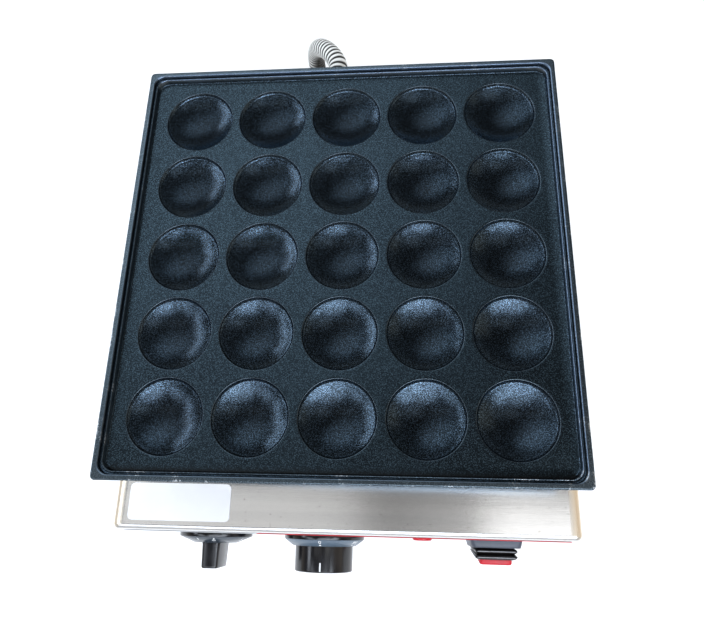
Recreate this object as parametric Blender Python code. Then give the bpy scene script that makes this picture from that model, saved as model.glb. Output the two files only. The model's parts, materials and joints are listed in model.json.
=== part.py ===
"""An electric mini-pancake grill: a square cast plate with round pits on a folded steel box.

Lengths are in metres, +Z is up and the front panel faces -Y. The origin lies on the floor,
under the middle of the grill's bounding box. Pieces that touch keep the gap FIT between them.
"""
import math

import bmesh
import bpy
from mathutils import Matrix, Vector, geometry

# Gaps, overruns and fineness
FIT = 0.0003
OVERRUN = 0.002
WELD = 0.000001
SHARP_ANGLE = math.radians(35)
CORNER_STEPS = 3
FINE_SIDES = 32
ROUND_SIDES = 16
PIT_SIDES = 20
NUT_SIDES = 12
SCREW_SIDES = 8

# Griddle plate
PLATE_WIDTH = 0.295
PLATE_THICKNESS = 0.012
PLATE_CORNER = 0.004
PLATE_DRAFT = 0.002
RIM_RISE = 0.006
RIM_WIDTH = 0.0035
RIM_ROUND = 0.0008
RIM_STEP_DROP = 0.003
RIM_STEP_WIDTH = 0.0013
RIM_FOOT_WIDTH = 0.0015
INNER_CORNER = 0.0075
PITS_PER_SIDE = 5
PIT_PITCH = 0.054
PIT_DIAMETER = 0.0484
PIT_WALL_DEPTH = 0.0013
PIT_WALL_DRAFT = 0.0007
PIT_DEPTH = 0.008
DISH_STEPS = 2

# Heater under the plate
ELEMENT_DIAMETER = 0.0065
ELEMENT_SPACING = 0.072
ELEMENT_FRONT = 0.070
ELEMENT_REAR = 0.058
ELEMENT_END = 0.096
ELEMENT_ARC_STEPS = 7
PIN_DIAMETER = 0.004
PIN_LENGTH = 0.010
BULB_LENGTH = 0.090
CLAMP_WIDTH = 0.018
CLAMP_THICKNESS = 0.002
CLAMP_LENGTH = 0.228
CLAMP_SCREW_DIAMETER = 0.005
CLAMP_SCREW_GRIP = 0.005
SCREW_HEAD_SHARE = 1.7
SCREW_HEAD_HEIGHT_SHARE = 0.55

# Tray, insulation, studs and pillars
TRAY_INSET = 0.010
TRAY_HEIGHT = 0.018
TRAY_SHEET = 0.001
TRAY_CORNER = 0.006
MAT_THICKNESS = 0.004
MAT_MARGIN = 0.004
MAT_REAR_MARGIN = 0.030
STUD_DIAMETER = 0.006
STUD_GRIP = 0.005
STUD_TAIL = 0.010
PILLAR_DIAMETER = 0.014
PILLAR_HEIGHT = 0.007
STUD_NUT_ACROSS = 0.010
STUD_NUT_HEIGHT = 0.005
FLANGE_DIAMETER = 0.014
FLANGE_THICKNESS = 0.0012

# Body box
BODY_WIDTH = 0.300
BODY_HEIGHT = 0.108
FRONT_LEDGE = 0.0285
REAR_LEDGE = 0.0005
SHEET = 0.0012
BEND_RADIUS = 0.0035
BODY_CORNER = 0.004
FLANGE_WIDTH = 0.014
BASE_SHEET = 0.001
BASE_INSET = 0.0015
BASE_CORNER = 0.003
VENT_WIDTH = 0.004
VENT_LENGTH = 0.040
VENT_SPACING = 0.010
BASE_VENTS = 6
REAR_VENTS = 5
VENT_CORNER = 0.0015
VENT_PLACE_SHARE = 0.3167
VENT_DROP = 0.050

# Feet
FOOT_DIAMETER = 0.032
FOOT_TOP_DIAMETER = 0.028
FOOT_HEIGHT = 0.018
FOOT_INSET = 0.034
FOOT_RECESS_DIAMETER = 0.014
FOOT_RECESS_DEPTH = 0.009
FOOT_ROUND = 0.002
FOOT_SCREW_DIAMETER = 0.005
FOOT_SCREW_TAIL = 0.007
FOOT_NUT_ACROSS = 0.008
FOOT_NUT_HEIGHT = 0.004

# Label on the ledge and film on the front panel
LABEL_WIDTH = 0.068
LABEL_DEPTH = 0.0235
LABEL_THICKNESS = 0.0003
LABEL_CORNER = 0.003
LABEL_SIDE_MARGIN = 0.010
LABEL_FRONT_MARGIN = 0.006
FILM_MARGIN = 0.005
FILM_CORNER = 0.003
FILM_THICKNESS = 0.0004

# Controls shared by both knobs
CONTROL_DROP = 0.048
SHAFT_DIAMETER = 0.006
SHAFT_GRIP = 0.006
BUSHING_DIAMETER = 0.010
BUSHING_REACH = 0.005
KNOB_GAP = 0.0005
KNOB_RIM = 0.0028
KNOB_CONE = 0.0042
KNOB_REACH = 0.0250
KNOB_WALL = 0.002
KNOB_BORE_END = 0.019

# Timer
TIMER_PLACE_SHARE = -0.3117
TIMER_SKIRT_DIAMETER = 0.051
TIMER_CONE_DIAMETER = 0.031
GRIP_WIDTH = 0.0130
GRIP_LENGTH = 0.0270
GRIP_TIP_WIDTH = 0.0118
GRIP_TIP_LENGTH = 0.0250
GRIP_ROUND = 0.003
TIMER_BODY_WIDTH = 0.048
TIMER_BODY_HEIGHT = 0.046
TIMER_BODY_DEPTH = 0.038
TIMER_BODY_CORNER = 0.004
TIMER_NUT_ACROSS = 0.014
TIMER_NUT_HEIGHT = 0.003

# Thermostat
THERMOSTAT_PLACE_SHARE = -0.0517
THERMOSTAT_SKIRT_DIAMETER = 0.056
THERMOSTAT_CONE_DIAMETER = 0.0445
DRUM_DIAMETER = 0.040
DRUM_ROUND = 0.0008
THERMOSTAT_BODY_WIDTH = 0.044
THERMOSTAT_BODY_HEIGHT = 0.036
THERMOSTAT_BODY_DEPTH = 0.032
THERMOSTAT_BODY_CORNER = 0.003
THERMOSTAT_SCREW_SPACING = 0.028
THERMOSTAT_SCREW_DIAMETER = 0.004
THERMOSTAT_SCREW_GRIP = 0.006

# Pilot lamp
LAMP_PLACE_SHARE = 0.1767
LENS_DIAMETER = 0.0135
LENS_REACH = 0.0025
LENS_EDGE = 0.0006
LENS_STEM_DIAMETER = 0.0084
LENS_STEM_LENGTH = 0.004
LAMP_TUBE_DIAMETER = 0.0110
LAMP_TUBE_LENGTH = 0.024
LAMP_NUT_ACROSS = 0.015
LAMP_NUT_HEIGHT = 0.003

# Rocker switch under its rubber boot
SWITCH_PLACE_SHARE = 0.3383
BEZEL_WIDTH = 0.034
BEZEL_HEIGHT = 0.038
BEZEL_THICKNESS = 0.0052
BEZEL_TAPER = 0.0012
BEZEL_CORNER = 0.003
BOOT_WIDTH = 0.0244
BOOT_HEIGHT = 0.0304
BOOT_WALL = 0.0012
BOOT_CORNER = 0.003
PLEAT_REACH = 0.0018
PLEAT_PITCH = 0.0026
PLEATS = 2
ROCKER_TILT = math.radians(9)
PIVOT_DEPTH = 0.004
HOUSING_WALL = 0.0024
HOUSING_DEPTH = 0.028
CAVITY_DEPTH = 0.013
PIVOT_PIN_DIAMETER = 0.0025
PADDLE_WIDTH = 0.0190
PADDLE_LENGTH = 0.0210
PADDLE_PLATE = 0.002
PADDLE_WEB = 0.005
BARREL_DIAMETER = 0.008
CAP_WIDTH = 0.0215
CAP_LENGTH = 0.027
CAP_THICKNESS = 0.0033
CAP_TAPER = 0.0006
CAP_CORNER = 0.0025
BLADE_WIDTH = 0.0063
BLADE_THICKNESS = 0.0008
BLADE_LENGTH = 0.008

# Ribbed hose behind the plate, its fittings and what runs through it
HOSE_DIAMETER = 0.0146
HOSE_GROOVE_DEPTH = 0.0008
HOSE_BORE_DIAMETER = 0.0104
RIB_PITCH = 0.003
HOSE_BORE_STEP = 6
UPPER_FITTING_OFFSET = -0.010
LOWER_FITTING_OFFSET = -0.026
LOWER_FITTING_RISE = 0.012
HOSE_SWING = 0.068
HOSE_SIDE_SWING = 0.0254
HOSE_DROP_SHARE = 0.55
UPPER_HANDLE = 0.0113
SIDE_HANDLE = 0.040
LOWER_HANDLE = 0.0153
LINE_STEPS = 24
FITTING_ACROSS = 0.017
FITTING_HEX_LENGTH = 0.006
FERRULE_DIAMETER = 0.0180
FERRULE_LENGTH = 0.011
FERRULE_RECESS = 0.007
FITTING_THREAD_DIAMETER = 0.011
FITTING_BORE_DIAMETER = 0.0086
FITTING_TAIL = 0.008
LOCK_NUT_ACROSS = 0.014
LOCK_NUT_HEIGHT = 0.004
LEAD_DIAMETER = 0.0024
CAPILLARY_DIAMETER = 0.0016
BORE_OFFSET = 0.0025
LEAD_HANDLE = 0.010
LEAD_STEPS = 6
LEAD_HOSE_STEPS = 18
CAPILLARY_HANDLE = 0.045

# Mains gland in the rear wall
GLAND_PLACE_SHARE = 0.2333
GLAND_ACROSS = 0.019
GLAND_HEX_LENGTH = 0.005
GLAND_DOME_DIAMETER = 0.0165
GLAND_DOME_LENGTH = 0.014
GLAND_THREAD_DIAMETER = 0.0155
GLAND_BORE_DIAMETER = 0.008
GLAND_NUT_ACROSS = 0.020
GLAND_NUT_HEIGHT = 0.005

# Terminal block and control wires
BLOCK_WIDTH = 0.056
BLOCK_DEPTH = 0.022
BLOCK_HEIGHT = 0.024
BLOCK_CORNER = 0.002
BLOCK_OFFSET = -0.020
BLOCK_REAR_MARGIN = 0.048
PORT_SPACING = 0.012
PORT_HEIGHT_SHARE = 0.5
BLOCK_SCREW_DIAMETER = 0.004
BLOCK_SCREW_INSET = 0.003
WIRE_DIAMETER = 0.0024
WIRE_HANDLE = 0.050
WIRE_DROP = 0.008
WIRE_STEPS = 9


# Levels, from the floor up
base_under = FOOT_HEIGHT + FIT
body_under = base_under + BASE_SHEET + FIT
body_top = body_under + BODY_HEIGHT
tray_under = body_top + FIT + PILLAR_HEIGHT + FIT
plate_under = tray_under + TRAY_HEIGHT + FIT
plate_floor = plate_under + PLATE_THICKNESS
rim_top = plate_floor + RIM_RISE
element_level = plate_under - FIT - ELEMENT_DIAMETER / 2
clamp_top = element_level - ELEMENT_DIAMETER / 2 - FIT
control_level = body_top - CONTROL_DROP
block_under = base_under + BASE_SHEET + FIT
lower_fitting_level = block_under + BLOCK_HEIGHT + LOWER_FITTING_RISE
upper_fitting_level = tray_under + TRAY_HEIGHT / 2

# Places in plan, counted from the middle of the plate
body_front = -PLATE_WIDTH / 2 - FRONT_LEDGE
body_rear = PLATE_WIDTH / 2 + REAR_LEDGE
body_depth = body_rear - body_front
body_middle = (body_rear + body_front) / 2
timer_offset = BODY_WIDTH * TIMER_PLACE_SHARE
thermostat_offset = BODY_WIDTH * THERMOSTAT_PLACE_SHARE
lamp_offset = BODY_WIDTH * LAMP_PLACE_SHARE
switch_offset = BODY_WIDTH * SWITCH_PLACE_SHARE
vent_offset = BODY_WIDTH * VENT_PLACE_SHARE
gland_offset = BODY_WIDTH * GLAND_PLACE_SHARE
tray_width = PLATE_WIDTH - 2 * TRAY_INSET
tray_rear = tray_width / 2
stud_offset = PIT_PITCH * 3 / 2
film_front = FIT + FILM_THICKNESS
knob_back = film_front + KNOB_GAP
fitting_length = FITTING_HEX_LENGTH + FERRULE_LENGTH
hose_start = fitting_length - FERRULE_RECESS + 2 * FIT


def smooth_line(first, first_handle, last_handle, last, steps):
    """Points along one Bezier curve, from first to last."""
    return geometry.interpolate_bezier(first, first_handle, last_handle, last, steps)


def hose_line():
    """The hose's centre line, from the fitting under the plate down to the body's rear wall."""
    upper = Vector((UPPER_FITTING_OFFSET, tray_rear + hose_start, upper_fitting_level))
    lower = Vector((LOWER_FITTING_OFFSET, body_rear + hose_start, lower_fitting_level))
    straight = Vector((0, HOSE_DIAMETER + FERRULE_RECESS, 0))
    upper_end = upper + straight
    lower_end = lower + straight
    turn = Vector((
        UPPER_FITTING_OFFSET - HOSE_SIDE_SWING,
        body_rear + HOSE_SWING,
        upper_fitting_level + (lower_fitting_level - upper_fitting_level) * HOSE_DROP_SHARE,
    ))
    above = turn + Vector((0, 0, SIDE_HANDLE))
    below = turn - Vector((0, 0, SIDE_HANDLE))
    first = smooth_line(upper_end, upper_end + Vector((0, UPPER_HANDLE, 0)), above, turn, LINE_STEPS)
    second = smooth_line(turn, below, lower_end + Vector((0, LOWER_HANDLE, 0)), lower_end, LINE_STEPS)
    return [upper] + first + second[1:] + [lower]


def evenly(points, count):
    """The same line, read at a number of evenly spaced places."""
    lengths = [0]
    for near, far in zip(points, points[1:]):
        lengths.append(lengths[-1] + (far - near).length)
    spaced = []
    index = 0
    for step in range(count + 1):
        place = lengths[-1] * step / count
        while index < len(points) - 2 and lengths[index + 1] < place:
            index += 1
        share = (place - lengths[index]) / (lengths[index + 1] - lengths[index])
        spaced.append(points[index].lerp(points[index + 1], share))
    return spaced


def line_length(points):
    return sum((far - near).length for near, far in zip(points, points[1:]))


hose_points = hose_line()
hose_rear = max(point.y for point in hose_points) + HOSE_DIAMETER / 2
knob_front = body_front - KNOB_REACH
centre_shift = -(hose_rear + knob_front) / 2

UP = Matrix.Identity(4)
FRONT = Matrix.Rotation(math.radians(90), 4, "X")
REAR = Matrix.Rotation(math.radians(-90), 4, "X")
SIDEWAYS = Matrix.Rotation(math.radians(90), 4, "Y")

for old in list(bpy.data.objects):
    bpy.data.objects.remove(old)

assembly = bpy.data.objects.new("assembly", None)
assembly.location = (0, centre_shift, 0)
bpy.context.scene.collection.objects.link(assembly)


# Materials
def material(name, colour, roughness, metallic=0):
    finish = bpy.data.materials.new(name)
    finish.use_nodes = True
    shader = finish.node_tree.nodes["Principled BSDF"]
    shader.inputs["Base Color"].default_value = (*colour, 1)
    shader.inputs["Roughness"].default_value = roughness
    shader.inputs["Metallic"].default_value = metallic
    return finish


coated_casting = material("non-stick coated casting", (0.030, 0.040, 0.052), 0.45, 0.2)
stainless = material("brushed stainless steel", (0.62, 0.60, 0.57), 0.32, 1)
zinc_steel = material("zinc plated steel", (0.55, 0.56, 0.58), 0.42, 1)
dark_steel = material("oxidised element sheath", (0.16, 0.15, 0.14), 0.55, 1)
brass = material("nickel plated brass", (0.62, 0.58, 0.50), 0.35, 1)
copper = material("copper capillary", (0.60, 0.33, 0.20), 0.40, 1)
black_plastic = material("black plastic", (0.020, 0.022, 0.026), 0.38)
grey_plastic = material("dark grey plastic", (0.060, 0.068, 0.085), 0.45)
rubber = material("black rubber", (0.018, 0.018, 0.018), 0.60)
boot_rubber = material("glossy black rubber", (0.012, 0.011, 0.010), 0.25)
red_plastic = material("red plastic", (0.62, 0.015, 0.020), 0.30)
red_lens = material("red lens", (0.70, 0.020, 0.025), 0.15)
red_film = material("red panel film", (0.60, 0.030, 0.035), 0.35)
white_film = material("white label film", (0.85, 0.85, 0.85), 0.40)
cream_plastic = material("cream moulding", (0.70, 0.66, 0.55), 0.55)
mineral_wool = material("mineral fibre mat", (0.72, 0.70, 0.64), 0.95)
lead_sleeve = material("glass fibre sleeve", (0.75, 0.72, 0.66), 0.80)
wire_sleeve = material("silicone wire", (0.10, 0.14, 0.30), 0.60)


# Shapes
def closed(bm):
    """Turn a finished bmesh into a mesh whose faces point out."""
    bmesh.ops.remove_doubles(bm, verts=bm.verts, dist=WELD)
    bmesh.ops.recalc_face_normals(bm, faces=bm.faces)
    mesh = bpy.data.meshes.new("shape")
    bm.to_mesh(mesh)
    bm.free()
    mesh.shade_smooth()
    mesh.set_sharp_from_angle(angle=SHARP_ANGLE)
    return mesh


def turned(profile, sides=ROUND_SIDES):
    """Spin an outline of (radius, height) pairs round Z. It starts and ends on the axis, or closes."""
    bm = bmesh.new()
    line = [bm.verts.new((radius, 0, height)) for radius, height in profile]
    edges = [bm.edges.new(pair) for pair in zip(line, line[1:])]
    if profile[0][0] > 0:
        edges.append(bm.edges.new((line[-1], line[0])))
    bmesh.ops.spin(
        bm, geom=line + edges, cent=(0, 0, 0), axis=(0, 0, 1), angle=math.tau, steps=sides, use_merge=True
    )
    return closed(bm)


def rod(radius, low, high, sides=ROUND_SIDES):
    return turned([(0, low), (radius, low), (radius, high), (0, high)], sides)


def sleeve(inner, outer, low, high, sides=ROUND_SIDES):
    return turned([(inner, low), (outer, low), (outer, high), (inner, high)], sides)


def circle(radius, sides):
    turns = [math.tau * side / sides for side in range(sides)]
    return [Vector((radius * math.cos(turn), radius * math.sin(turn), 0)) for turn in turns]


def hexagon(across, sides):
    """A hexagon's outline, with as many points as a circle of that many sides."""
    points = []
    for point in circle(across / 2, sides):
        turn = math.atan2(point.y, point.x) % math.radians(60)
        points.append(point / math.cos(turn - math.radians(30)))
    return points


def rounded(width, depth, corner, steps=CORNER_STEPS):
    """A rectangle's outline with round corners."""
    points = []
    signs = ((1, 1), (-1, 1), (-1, -1), (1, -1))
    for quarter, (side_x, side_y) in enumerate(signs):
        middle = Vector((side_x * (width / 2 - corner), side_y * (depth / 2 - corner), 0))
        for step in range(steps + 1):
            turn = (quarter + step / steps) * math.pi / 2
            points.append(middle + corner * Vector((math.cos(turn), math.sin(turn), 0)))
    return points


def lifted(points, height):
    return [point + Vector((0, 0, height)) for point in points]


def loft(outlines, capped=True):
    """Skin a row of outlines. The ends are capped, or joined to each other."""
    bm = bmesh.new()
    rings = [[bm.verts.new(point) for point in outline] for outline in outlines]
    if capped:
        bm.faces.new(rings[0])
        bm.faces.new(rings[-1])
    else:
        rings.append(rings[0])
    for low, high in zip(rings, rings[1:]):
        for index, (first, second) in enumerate(zip(low, high)):
            bm.faces.new((low[index - 1], first, second, high[index - 1]))
    return closed(bm)


def slab(width, depth, corner, low, high, steps=CORNER_STEPS):
    outline = rounded(width, depth, corner, steps)
    return loft([lifted(outline, low), lifted(outline, high)])


def hex_ring(across, bore, low, high, sides=NUT_SIDES):
    outer = hexagon(across, sides)
    inner = circle(bore, sides)
    return loft([lifted(inner, low), lifted(outer, low), lifted(outer, high), lifted(inner, high)], False)


def screw(diameter, grip):
    """A pan-head screw: the shank runs up from the head, whose seat is at zero."""
    shank = diameter / 2
    head = shank * SCREW_HEAD_SHARE
    height = diameter * SCREW_HEAD_HEIGHT_SHARE
    crown = [(0, -height), (head * 3 / 4, -height), (head, -height / 2)]
    return turned(crown + [(head, 0), (shank, 0), (shank, grip), (0, grip)], SCREW_SIDES)


def nutted(radius, low, high, across, nut_low, nut_high):
    """A threaded rod with its nut, as one body."""
    shaft = circle(radius, NUT_SIDES)
    nut = hexagon(across, NUT_SIDES)
    return [
        lifted(shaft, low), lifted(shaft, nut_low), lifted(nut, nut_low), lifted(nut, nut_high),
        lifted(shaft, nut_high), lifted(shaft, high),
    ]


def gathered(shapes):
    """One mesh that holds each shape at its place."""
    bm = bmesh.new()
    for mesh, place in shapes:
        before = len(bm.verts)
        bm.from_mesh(mesh)
        bm.verts.ensure_lookup_table()
        bmesh.ops.transform(bm, matrix=Matrix.Translation(place), verts=bm.verts[before:])
    return closed(bm)


def grouped(mesh, places):
    return gathered([(mesh, place) for place in places])


def tube(points, radii, fineness):
    """A round tube along a line of points, with a radius at each."""
    curve = bpy.data.curves.new("line", "CURVE")
    curve.dimensions = "3D"
    curve.bevel_depth = max(radii)
    curve.bevel_resolution = fineness
    curve.use_fill_caps = True
    spline = curve.splines.new("POLY")
    spline.points.add(len(points) - 1)
    for knot, point, radius in zip(spline.points, points, radii):
        knot.co = (*point, 1)
        knot.radius = radius / max(radii)
    guide = bpy.data.objects.new("line", curve)
    bpy.context.scene.collection.objects.link(guide)
    bpy.context.view_layer.update()
    mesh = bpy.data.meshes.new_from_object(guide.evaluated_get(bpy.context.evaluated_depsgraph_get()))
    bpy.data.objects.remove(guide)
    bm = bmesh.new()
    bm.from_mesh(mesh)
    return closed(bm)


# Placing, cutting and fusing
def put(name, mesh, finish, at=(0, 0, 0), facing=UP):
    node = bpy.data.objects.new(name, mesh)
    bpy.context.scene.collection.objects.link(node)
    node.parent = assembly
    node.matrix_local = Matrix.Translation(at) @ facing
    if not mesh.materials:
        mesh.materials.append(finish)
    return node


def combine(node, operation, mesh, at=(0, 0, 0), facing=UP):
    guide = bpy.data.objects.new(node.name + "." + operation.lower(), mesh)
    bpy.context.scene.collection.objects.link(guide)
    guide.parent = assembly
    guide.matrix_local = Matrix.Translation(at) @ facing
    guide.hide_render = True
    guide.display_type = "WIRE"
    boolean = node.modifiers.new(operation.lower(), "BOOLEAN")
    boolean.operation = operation
    boolean.object = guide
    boolean.solver = "EXACT"


def cut(node, mesh, at=(0, 0, 0), facing=UP):
    combine(node, "DIFFERENCE", mesh, at, facing)


def fuse(node, mesh, at=(0, 0, 0), facing=UP):
    combine(node, "UNION", mesh, at, facing)


def corners(offset_x, offset_y):
    return [Vector((side_x * offset_x, side_y * offset_y, 0)) for side_x in (-1, 1) for side_y in (-1, 1)]


CORNER_NAMES = ("front_left", "rear_left", "front_right", "rear_right")
stud_places = corners(stud_offset, stud_offset)
clamp_places = [Vector((column * stud_offset, 0, 0)) for column in (-1, 0, 1)]


# Griddle plate
def pit_profile():
    """Outline of one pit's hollow: a steep lip and a shallow round dish."""
    lip = PIT_DIAMETER / 2
    edge = lip - PIT_WALL_DRAFT
    sag = PIT_DEPTH - PIT_WALL_DEPTH
    ball = (edge * edge + sag * sag) / (2 * sag)
    sweep = math.asin(edge / ball)
    profile = [(0, OVERRUN), (lip, OVERRUN), (lip, 0)]
    for step in range(DISH_STEPS):
        turn = sweep * (1 - step / DISH_STEPS)
        profile.append((ball * math.sin(turn), -PIT_DEPTH + ball * (1 - math.cos(turn))))
    profile.append((0, -PIT_DEPTH))
    return profile


def make_plate():
    top = rounded(PLATE_WIDTH, PLATE_WIDTH, PLATE_CORNER)
    under = PLATE_WIDTH - 2 * PLATE_DRAFT
    crown = PLATE_WIDTH - 2 * RIM_ROUND
    inner = PLATE_WIDTH - 2 * RIM_WIDTH
    step = inner - 2 * RIM_STEP_WIDTH
    foot = step - 2 * RIM_FOOT_WIDTH
    step_level = rim_top - RIM_STEP_DROP
    mesh = loft([
        lifted(rounded(under, under, PLATE_CORNER), plate_under),
        lifted(top, rim_top - RIM_ROUND),
        lifted(rounded(crown, crown, PLATE_CORNER), rim_top),
        lifted(rounded(inner, inner, INNER_CORNER), rim_top),
        lifted(rounded(inner, inner, INNER_CORNER), step_level),
        lifted(rounded(step, step, INNER_CORNER), step_level),
        lifted(rounded(foot, foot, INNER_CORNER), plate_floor),
    ])
    plate = put("griddle_plate", mesh, coated_casting)
    middle = (PITS_PER_SIDE - 1) / 2
    pits = [
        Vector(((column - middle) * PIT_PITCH, (row - middle) * PIT_PITCH, plate_floor))
        for column in range(PITS_PER_SIDE)
        for row in range(PITS_PER_SIDE)
    ]
    cut(plate, grouped(turned(pit_profile(), PIT_SIDES), pits))
    stud_hole = rod(STUD_DIAMETER / 2 + FIT, -OVERRUN, STUD_GRIP + FIT, SCREW_SIDES)
    screw_hole = rod(CLAMP_SCREW_DIAMETER / 2 + FIT, -OVERRUN, CLAMP_SCREW_GRIP + FIT, SCREW_SIDES)
    cut(plate, grouped(stud_hole, stud_places), (0, 0, plate_under))
    for side in (-1, 1):
        cut(plate, grouped(screw_hole, clamp_places), (0, side * PIT_PITCH / 2, plate_under))


# Heating element, sensor bulb and clamp bars
def element_line():
    """The element's route under the plate: four legs joined by three round bends."""
    ends = ELEMENT_SPACING * 3 / 2
    points = [(-ends, ELEMENT_END)]
    for bend, side in ((-1, -1), (0, 1), (1, -1)):
        level = -ELEMENT_FRONT if side < 0 else ELEMENT_REAR
        for step in range(ELEMENT_ARC_STEPS + 1):
            turn = math.pi * (1 - step / ELEMENT_ARC_STEPS)
            points.append((
                bend * ELEMENT_SPACING + ELEMENT_SPACING / 2 * math.cos(turn),
                level + side * ELEMENT_SPACING / 2 * math.sin(turn),
            ))
    points.append((ends, ELEMENT_END))
    return [Vector((x, y, element_level)) for x, y in points]


def make_heater():
    line = element_line()
    pin = Vector((0, PIN_LENGTH, 0))
    step = Vector((0, FIT, 0))
    points = [line[0] + pin, line[0] + step] + line + [line[-1] + step, line[-1] + pin]
    radii = [PIN_DIAMETER / 2] * 2 + [ELEMENT_DIAMETER / 2] * len(line) + [PIN_DIAMETER / 2] * 2
    put("heating_element", tube(points, radii, 1), dark_steel)
    bulb = rod(ELEMENT_DIAMETER / 2, -BULB_LENGTH / 2, BULB_LENGTH / 2, NUT_SIDES)
    put("thermostat_bulb", bulb, copper, (-ELEMENT_SPACING, 0, element_level), REAR)
    bar = slab(CLAMP_LENGTH, CLAMP_WIDTH, CLAMP_THICKNESS, -CLAMP_THICKNESS, 0, 1)
    grip = plate_under + CLAMP_SCREW_GRIP - clamp_top + CLAMP_THICKNESS
    screws = grouped(screw(CLAMP_SCREW_DIAMETER, grip), clamp_places)
    for name, side in (("clamp_bar_front", -1), ("clamp_bar_rear", 1)):
        place = Vector((0, side * PIT_PITCH / 2, clamp_top))
        clamp = put(name, bar.copy(), zinc_steel, place)
        fuse(clamp, screws, place - Vector((0, 0, CLAMP_THICKNESS - WELD)))


# Tray under the plate, its mat, and the studs and pillars that carry the plate
def make_tray():
    inside = tray_width - 2 * TRAY_SHEET
    outer = rounded(tray_width, tray_width, TRAY_CORNER)
    inner = rounded(inside, inside, TRAY_CORNER - TRAY_SHEET)
    mesh = loft([
        lifted(inner, TRAY_SHEET), lifted(inner, TRAY_HEIGHT), lifted(outer, TRAY_HEIGHT), lifted(outer, 0)
    ])
    tray = put("plate_tray", mesh, stainless, (0, 0, tray_under))
    hole = rod(STUD_DIAMETER / 2 + FIT, -OVERRUN, MAT_THICKNESS + TRAY_SHEET + OVERRUN, SCREW_SIDES)
    cut(tray, grouped(hole, stud_places), (0, 0, tray_under))
    entry = rod(FITTING_THREAD_DIAMETER / 2 + FIT, -OVERRUN - TRAY_SHEET, OVERRUN)
    cut(tray, entry, (UPPER_FITTING_OFFSET, tray_rear, upper_fitting_level), REAR)
    depth = inside - MAT_MARGIN - MAT_REAR_MARGIN
    middle = (MAT_MARGIN - MAT_REAR_MARGIN) / 2
    level = tray_under + TRAY_SHEET + FIT
    mat = slab(inside - 2 * MAT_MARGIN, depth, TRAY_CORNER, 0, MAT_THICKNESS)
    mat_node = put("insulation_mat", mat, mineral_wool, (0, middle, level))
    cut(mat_node, grouped(hole, stud_places), (0, 0, tray_under))


def make_studs():
    """Each stud grips the plate, and its flange nut pulls it down inside the body's top."""
    seat = body_top - SHEET - FIT
    nut_level = seat - FLANGE_THICKNESS
    outlines = nutted(
        STUD_DIAMETER / 2, seat - STUD_TAIL, plate_under + STUD_GRIP, STUD_NUT_ACROSS,
        nut_level - STUD_NUT_HEIGHT, nut_level,
    )
    flange = lifted(circle(FLANGE_DIAMETER / 2, NUT_SIDES), seat)
    shank = lifted(circle(STUD_DIAMETER / 2, NUT_SIDES), seat)
    stud = loft(outlines[:4] + [flange, shank] + outlines[-1:])
    pillar = sleeve(STUD_DIAMETER / 2 + FIT, PILLAR_DIAMETER / 2, 0, PILLAR_HEIGHT, NUT_SIDES)
    for name, place in zip(CORNER_NAMES, stud_places):
        put("plate_stud_" + name, stud, zinc_steel, place)
        put("pillar_" + name, pillar, stainless, place + Vector((0, 0, body_top + FIT)))


# Body shell with its openings
def shell_mesh():
    def ring(inset, corner, level):
        outline = rounded(BODY_WIDTH - 2 * inset, body_depth - 2 * inset, corner)
        return lifted(outline, level)

    tight = BODY_CORNER - BEND_RADIUS
    half_bend = BEND_RADIUS * (1 - math.sqrt(1 / 2))
    return loft([
        ring(BEND_RADIUS, tight, BODY_HEIGHT),
        ring(half_bend, BODY_CORNER - half_bend, BODY_HEIGHT - half_bend),
        ring(0, BODY_CORNER, BODY_HEIGHT - BEND_RADIUS),
        ring(0, BODY_CORNER, 0),
        ring(FLANGE_WIDTH, BODY_CORNER, 0),
        ring(FLANGE_WIDTH, BODY_CORNER, SHEET),
        ring(SHEET, BODY_CORNER - SHEET, SHEET),
        ring(SHEET, BODY_CORNER - SHEET, BODY_HEIGHT - BEND_RADIUS),
        ring(BEND_RADIUS, tight, BODY_HEIGHT - SHEET),
    ])


def vent_row(count):
    slot = slab(VENT_LENGTH, VENT_WIDTH, VENT_CORNER, -OVERRUN - SHEET, OVERRUN, 1)
    middle = (count - 1) / 2
    return grouped(slot, [Vector((0, (row - middle) * VENT_SPACING, 0)) for row in range(count)])


def panel_place(offset):
    """A place on the outside of the front panel, at the height of the controls."""
    return Vector((offset, body_front, control_level))


def panel_hole(radius, sides=ROUND_SIDES):
    return rod(radius + FIT, -OVERRUN - SHEET, OVERRUN, sides)


def cut_controls(node):
    """The openings that the panel and its film share."""
    knob_hole = panel_hole(BUSHING_DIAMETER / 2)
    screw_hole = panel_hole(THERMOSTAT_SCREW_DIAMETER / 2, SCREW_SIDES)
    width = housing_width() + 2 * FIT
    height = housing_height() + 2 * FIT
    window = slab(width, height, BOOT_CORNER, -OVERRUN - SHEET, OVERRUN)
    openings = [
        (knob_hole, Vector((timer_offset, 0, 0))),
        (knob_hole, Vector((thermostat_offset, 0, 0))),
        (panel_hole(LAMP_TUBE_DIAMETER / 2), Vector((lamp_offset, 0, 0))),
        (window, Vector((switch_offset, 0, 0))),
    ]
    for place in thermostat_screw_places():
        openings.append((screw_hole, place + Vector((thermostat_offset, 0, 0))))
    cut(node, gathered(openings), panel_place(0), FRONT)


def thermostat_screw_places():
    return [Vector((side * THERMOSTAT_SCREW_SPACING / 2, 0, 0)) for side in (-1, 1)]


def housing_width():
    return BOOT_WIDTH - 2 * BOOT_WALL + 2 * HOUSING_WALL


def housing_height():
    return BOOT_HEIGHT - 2 * BOOT_WALL + 2 * HOUSING_WALL


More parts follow.
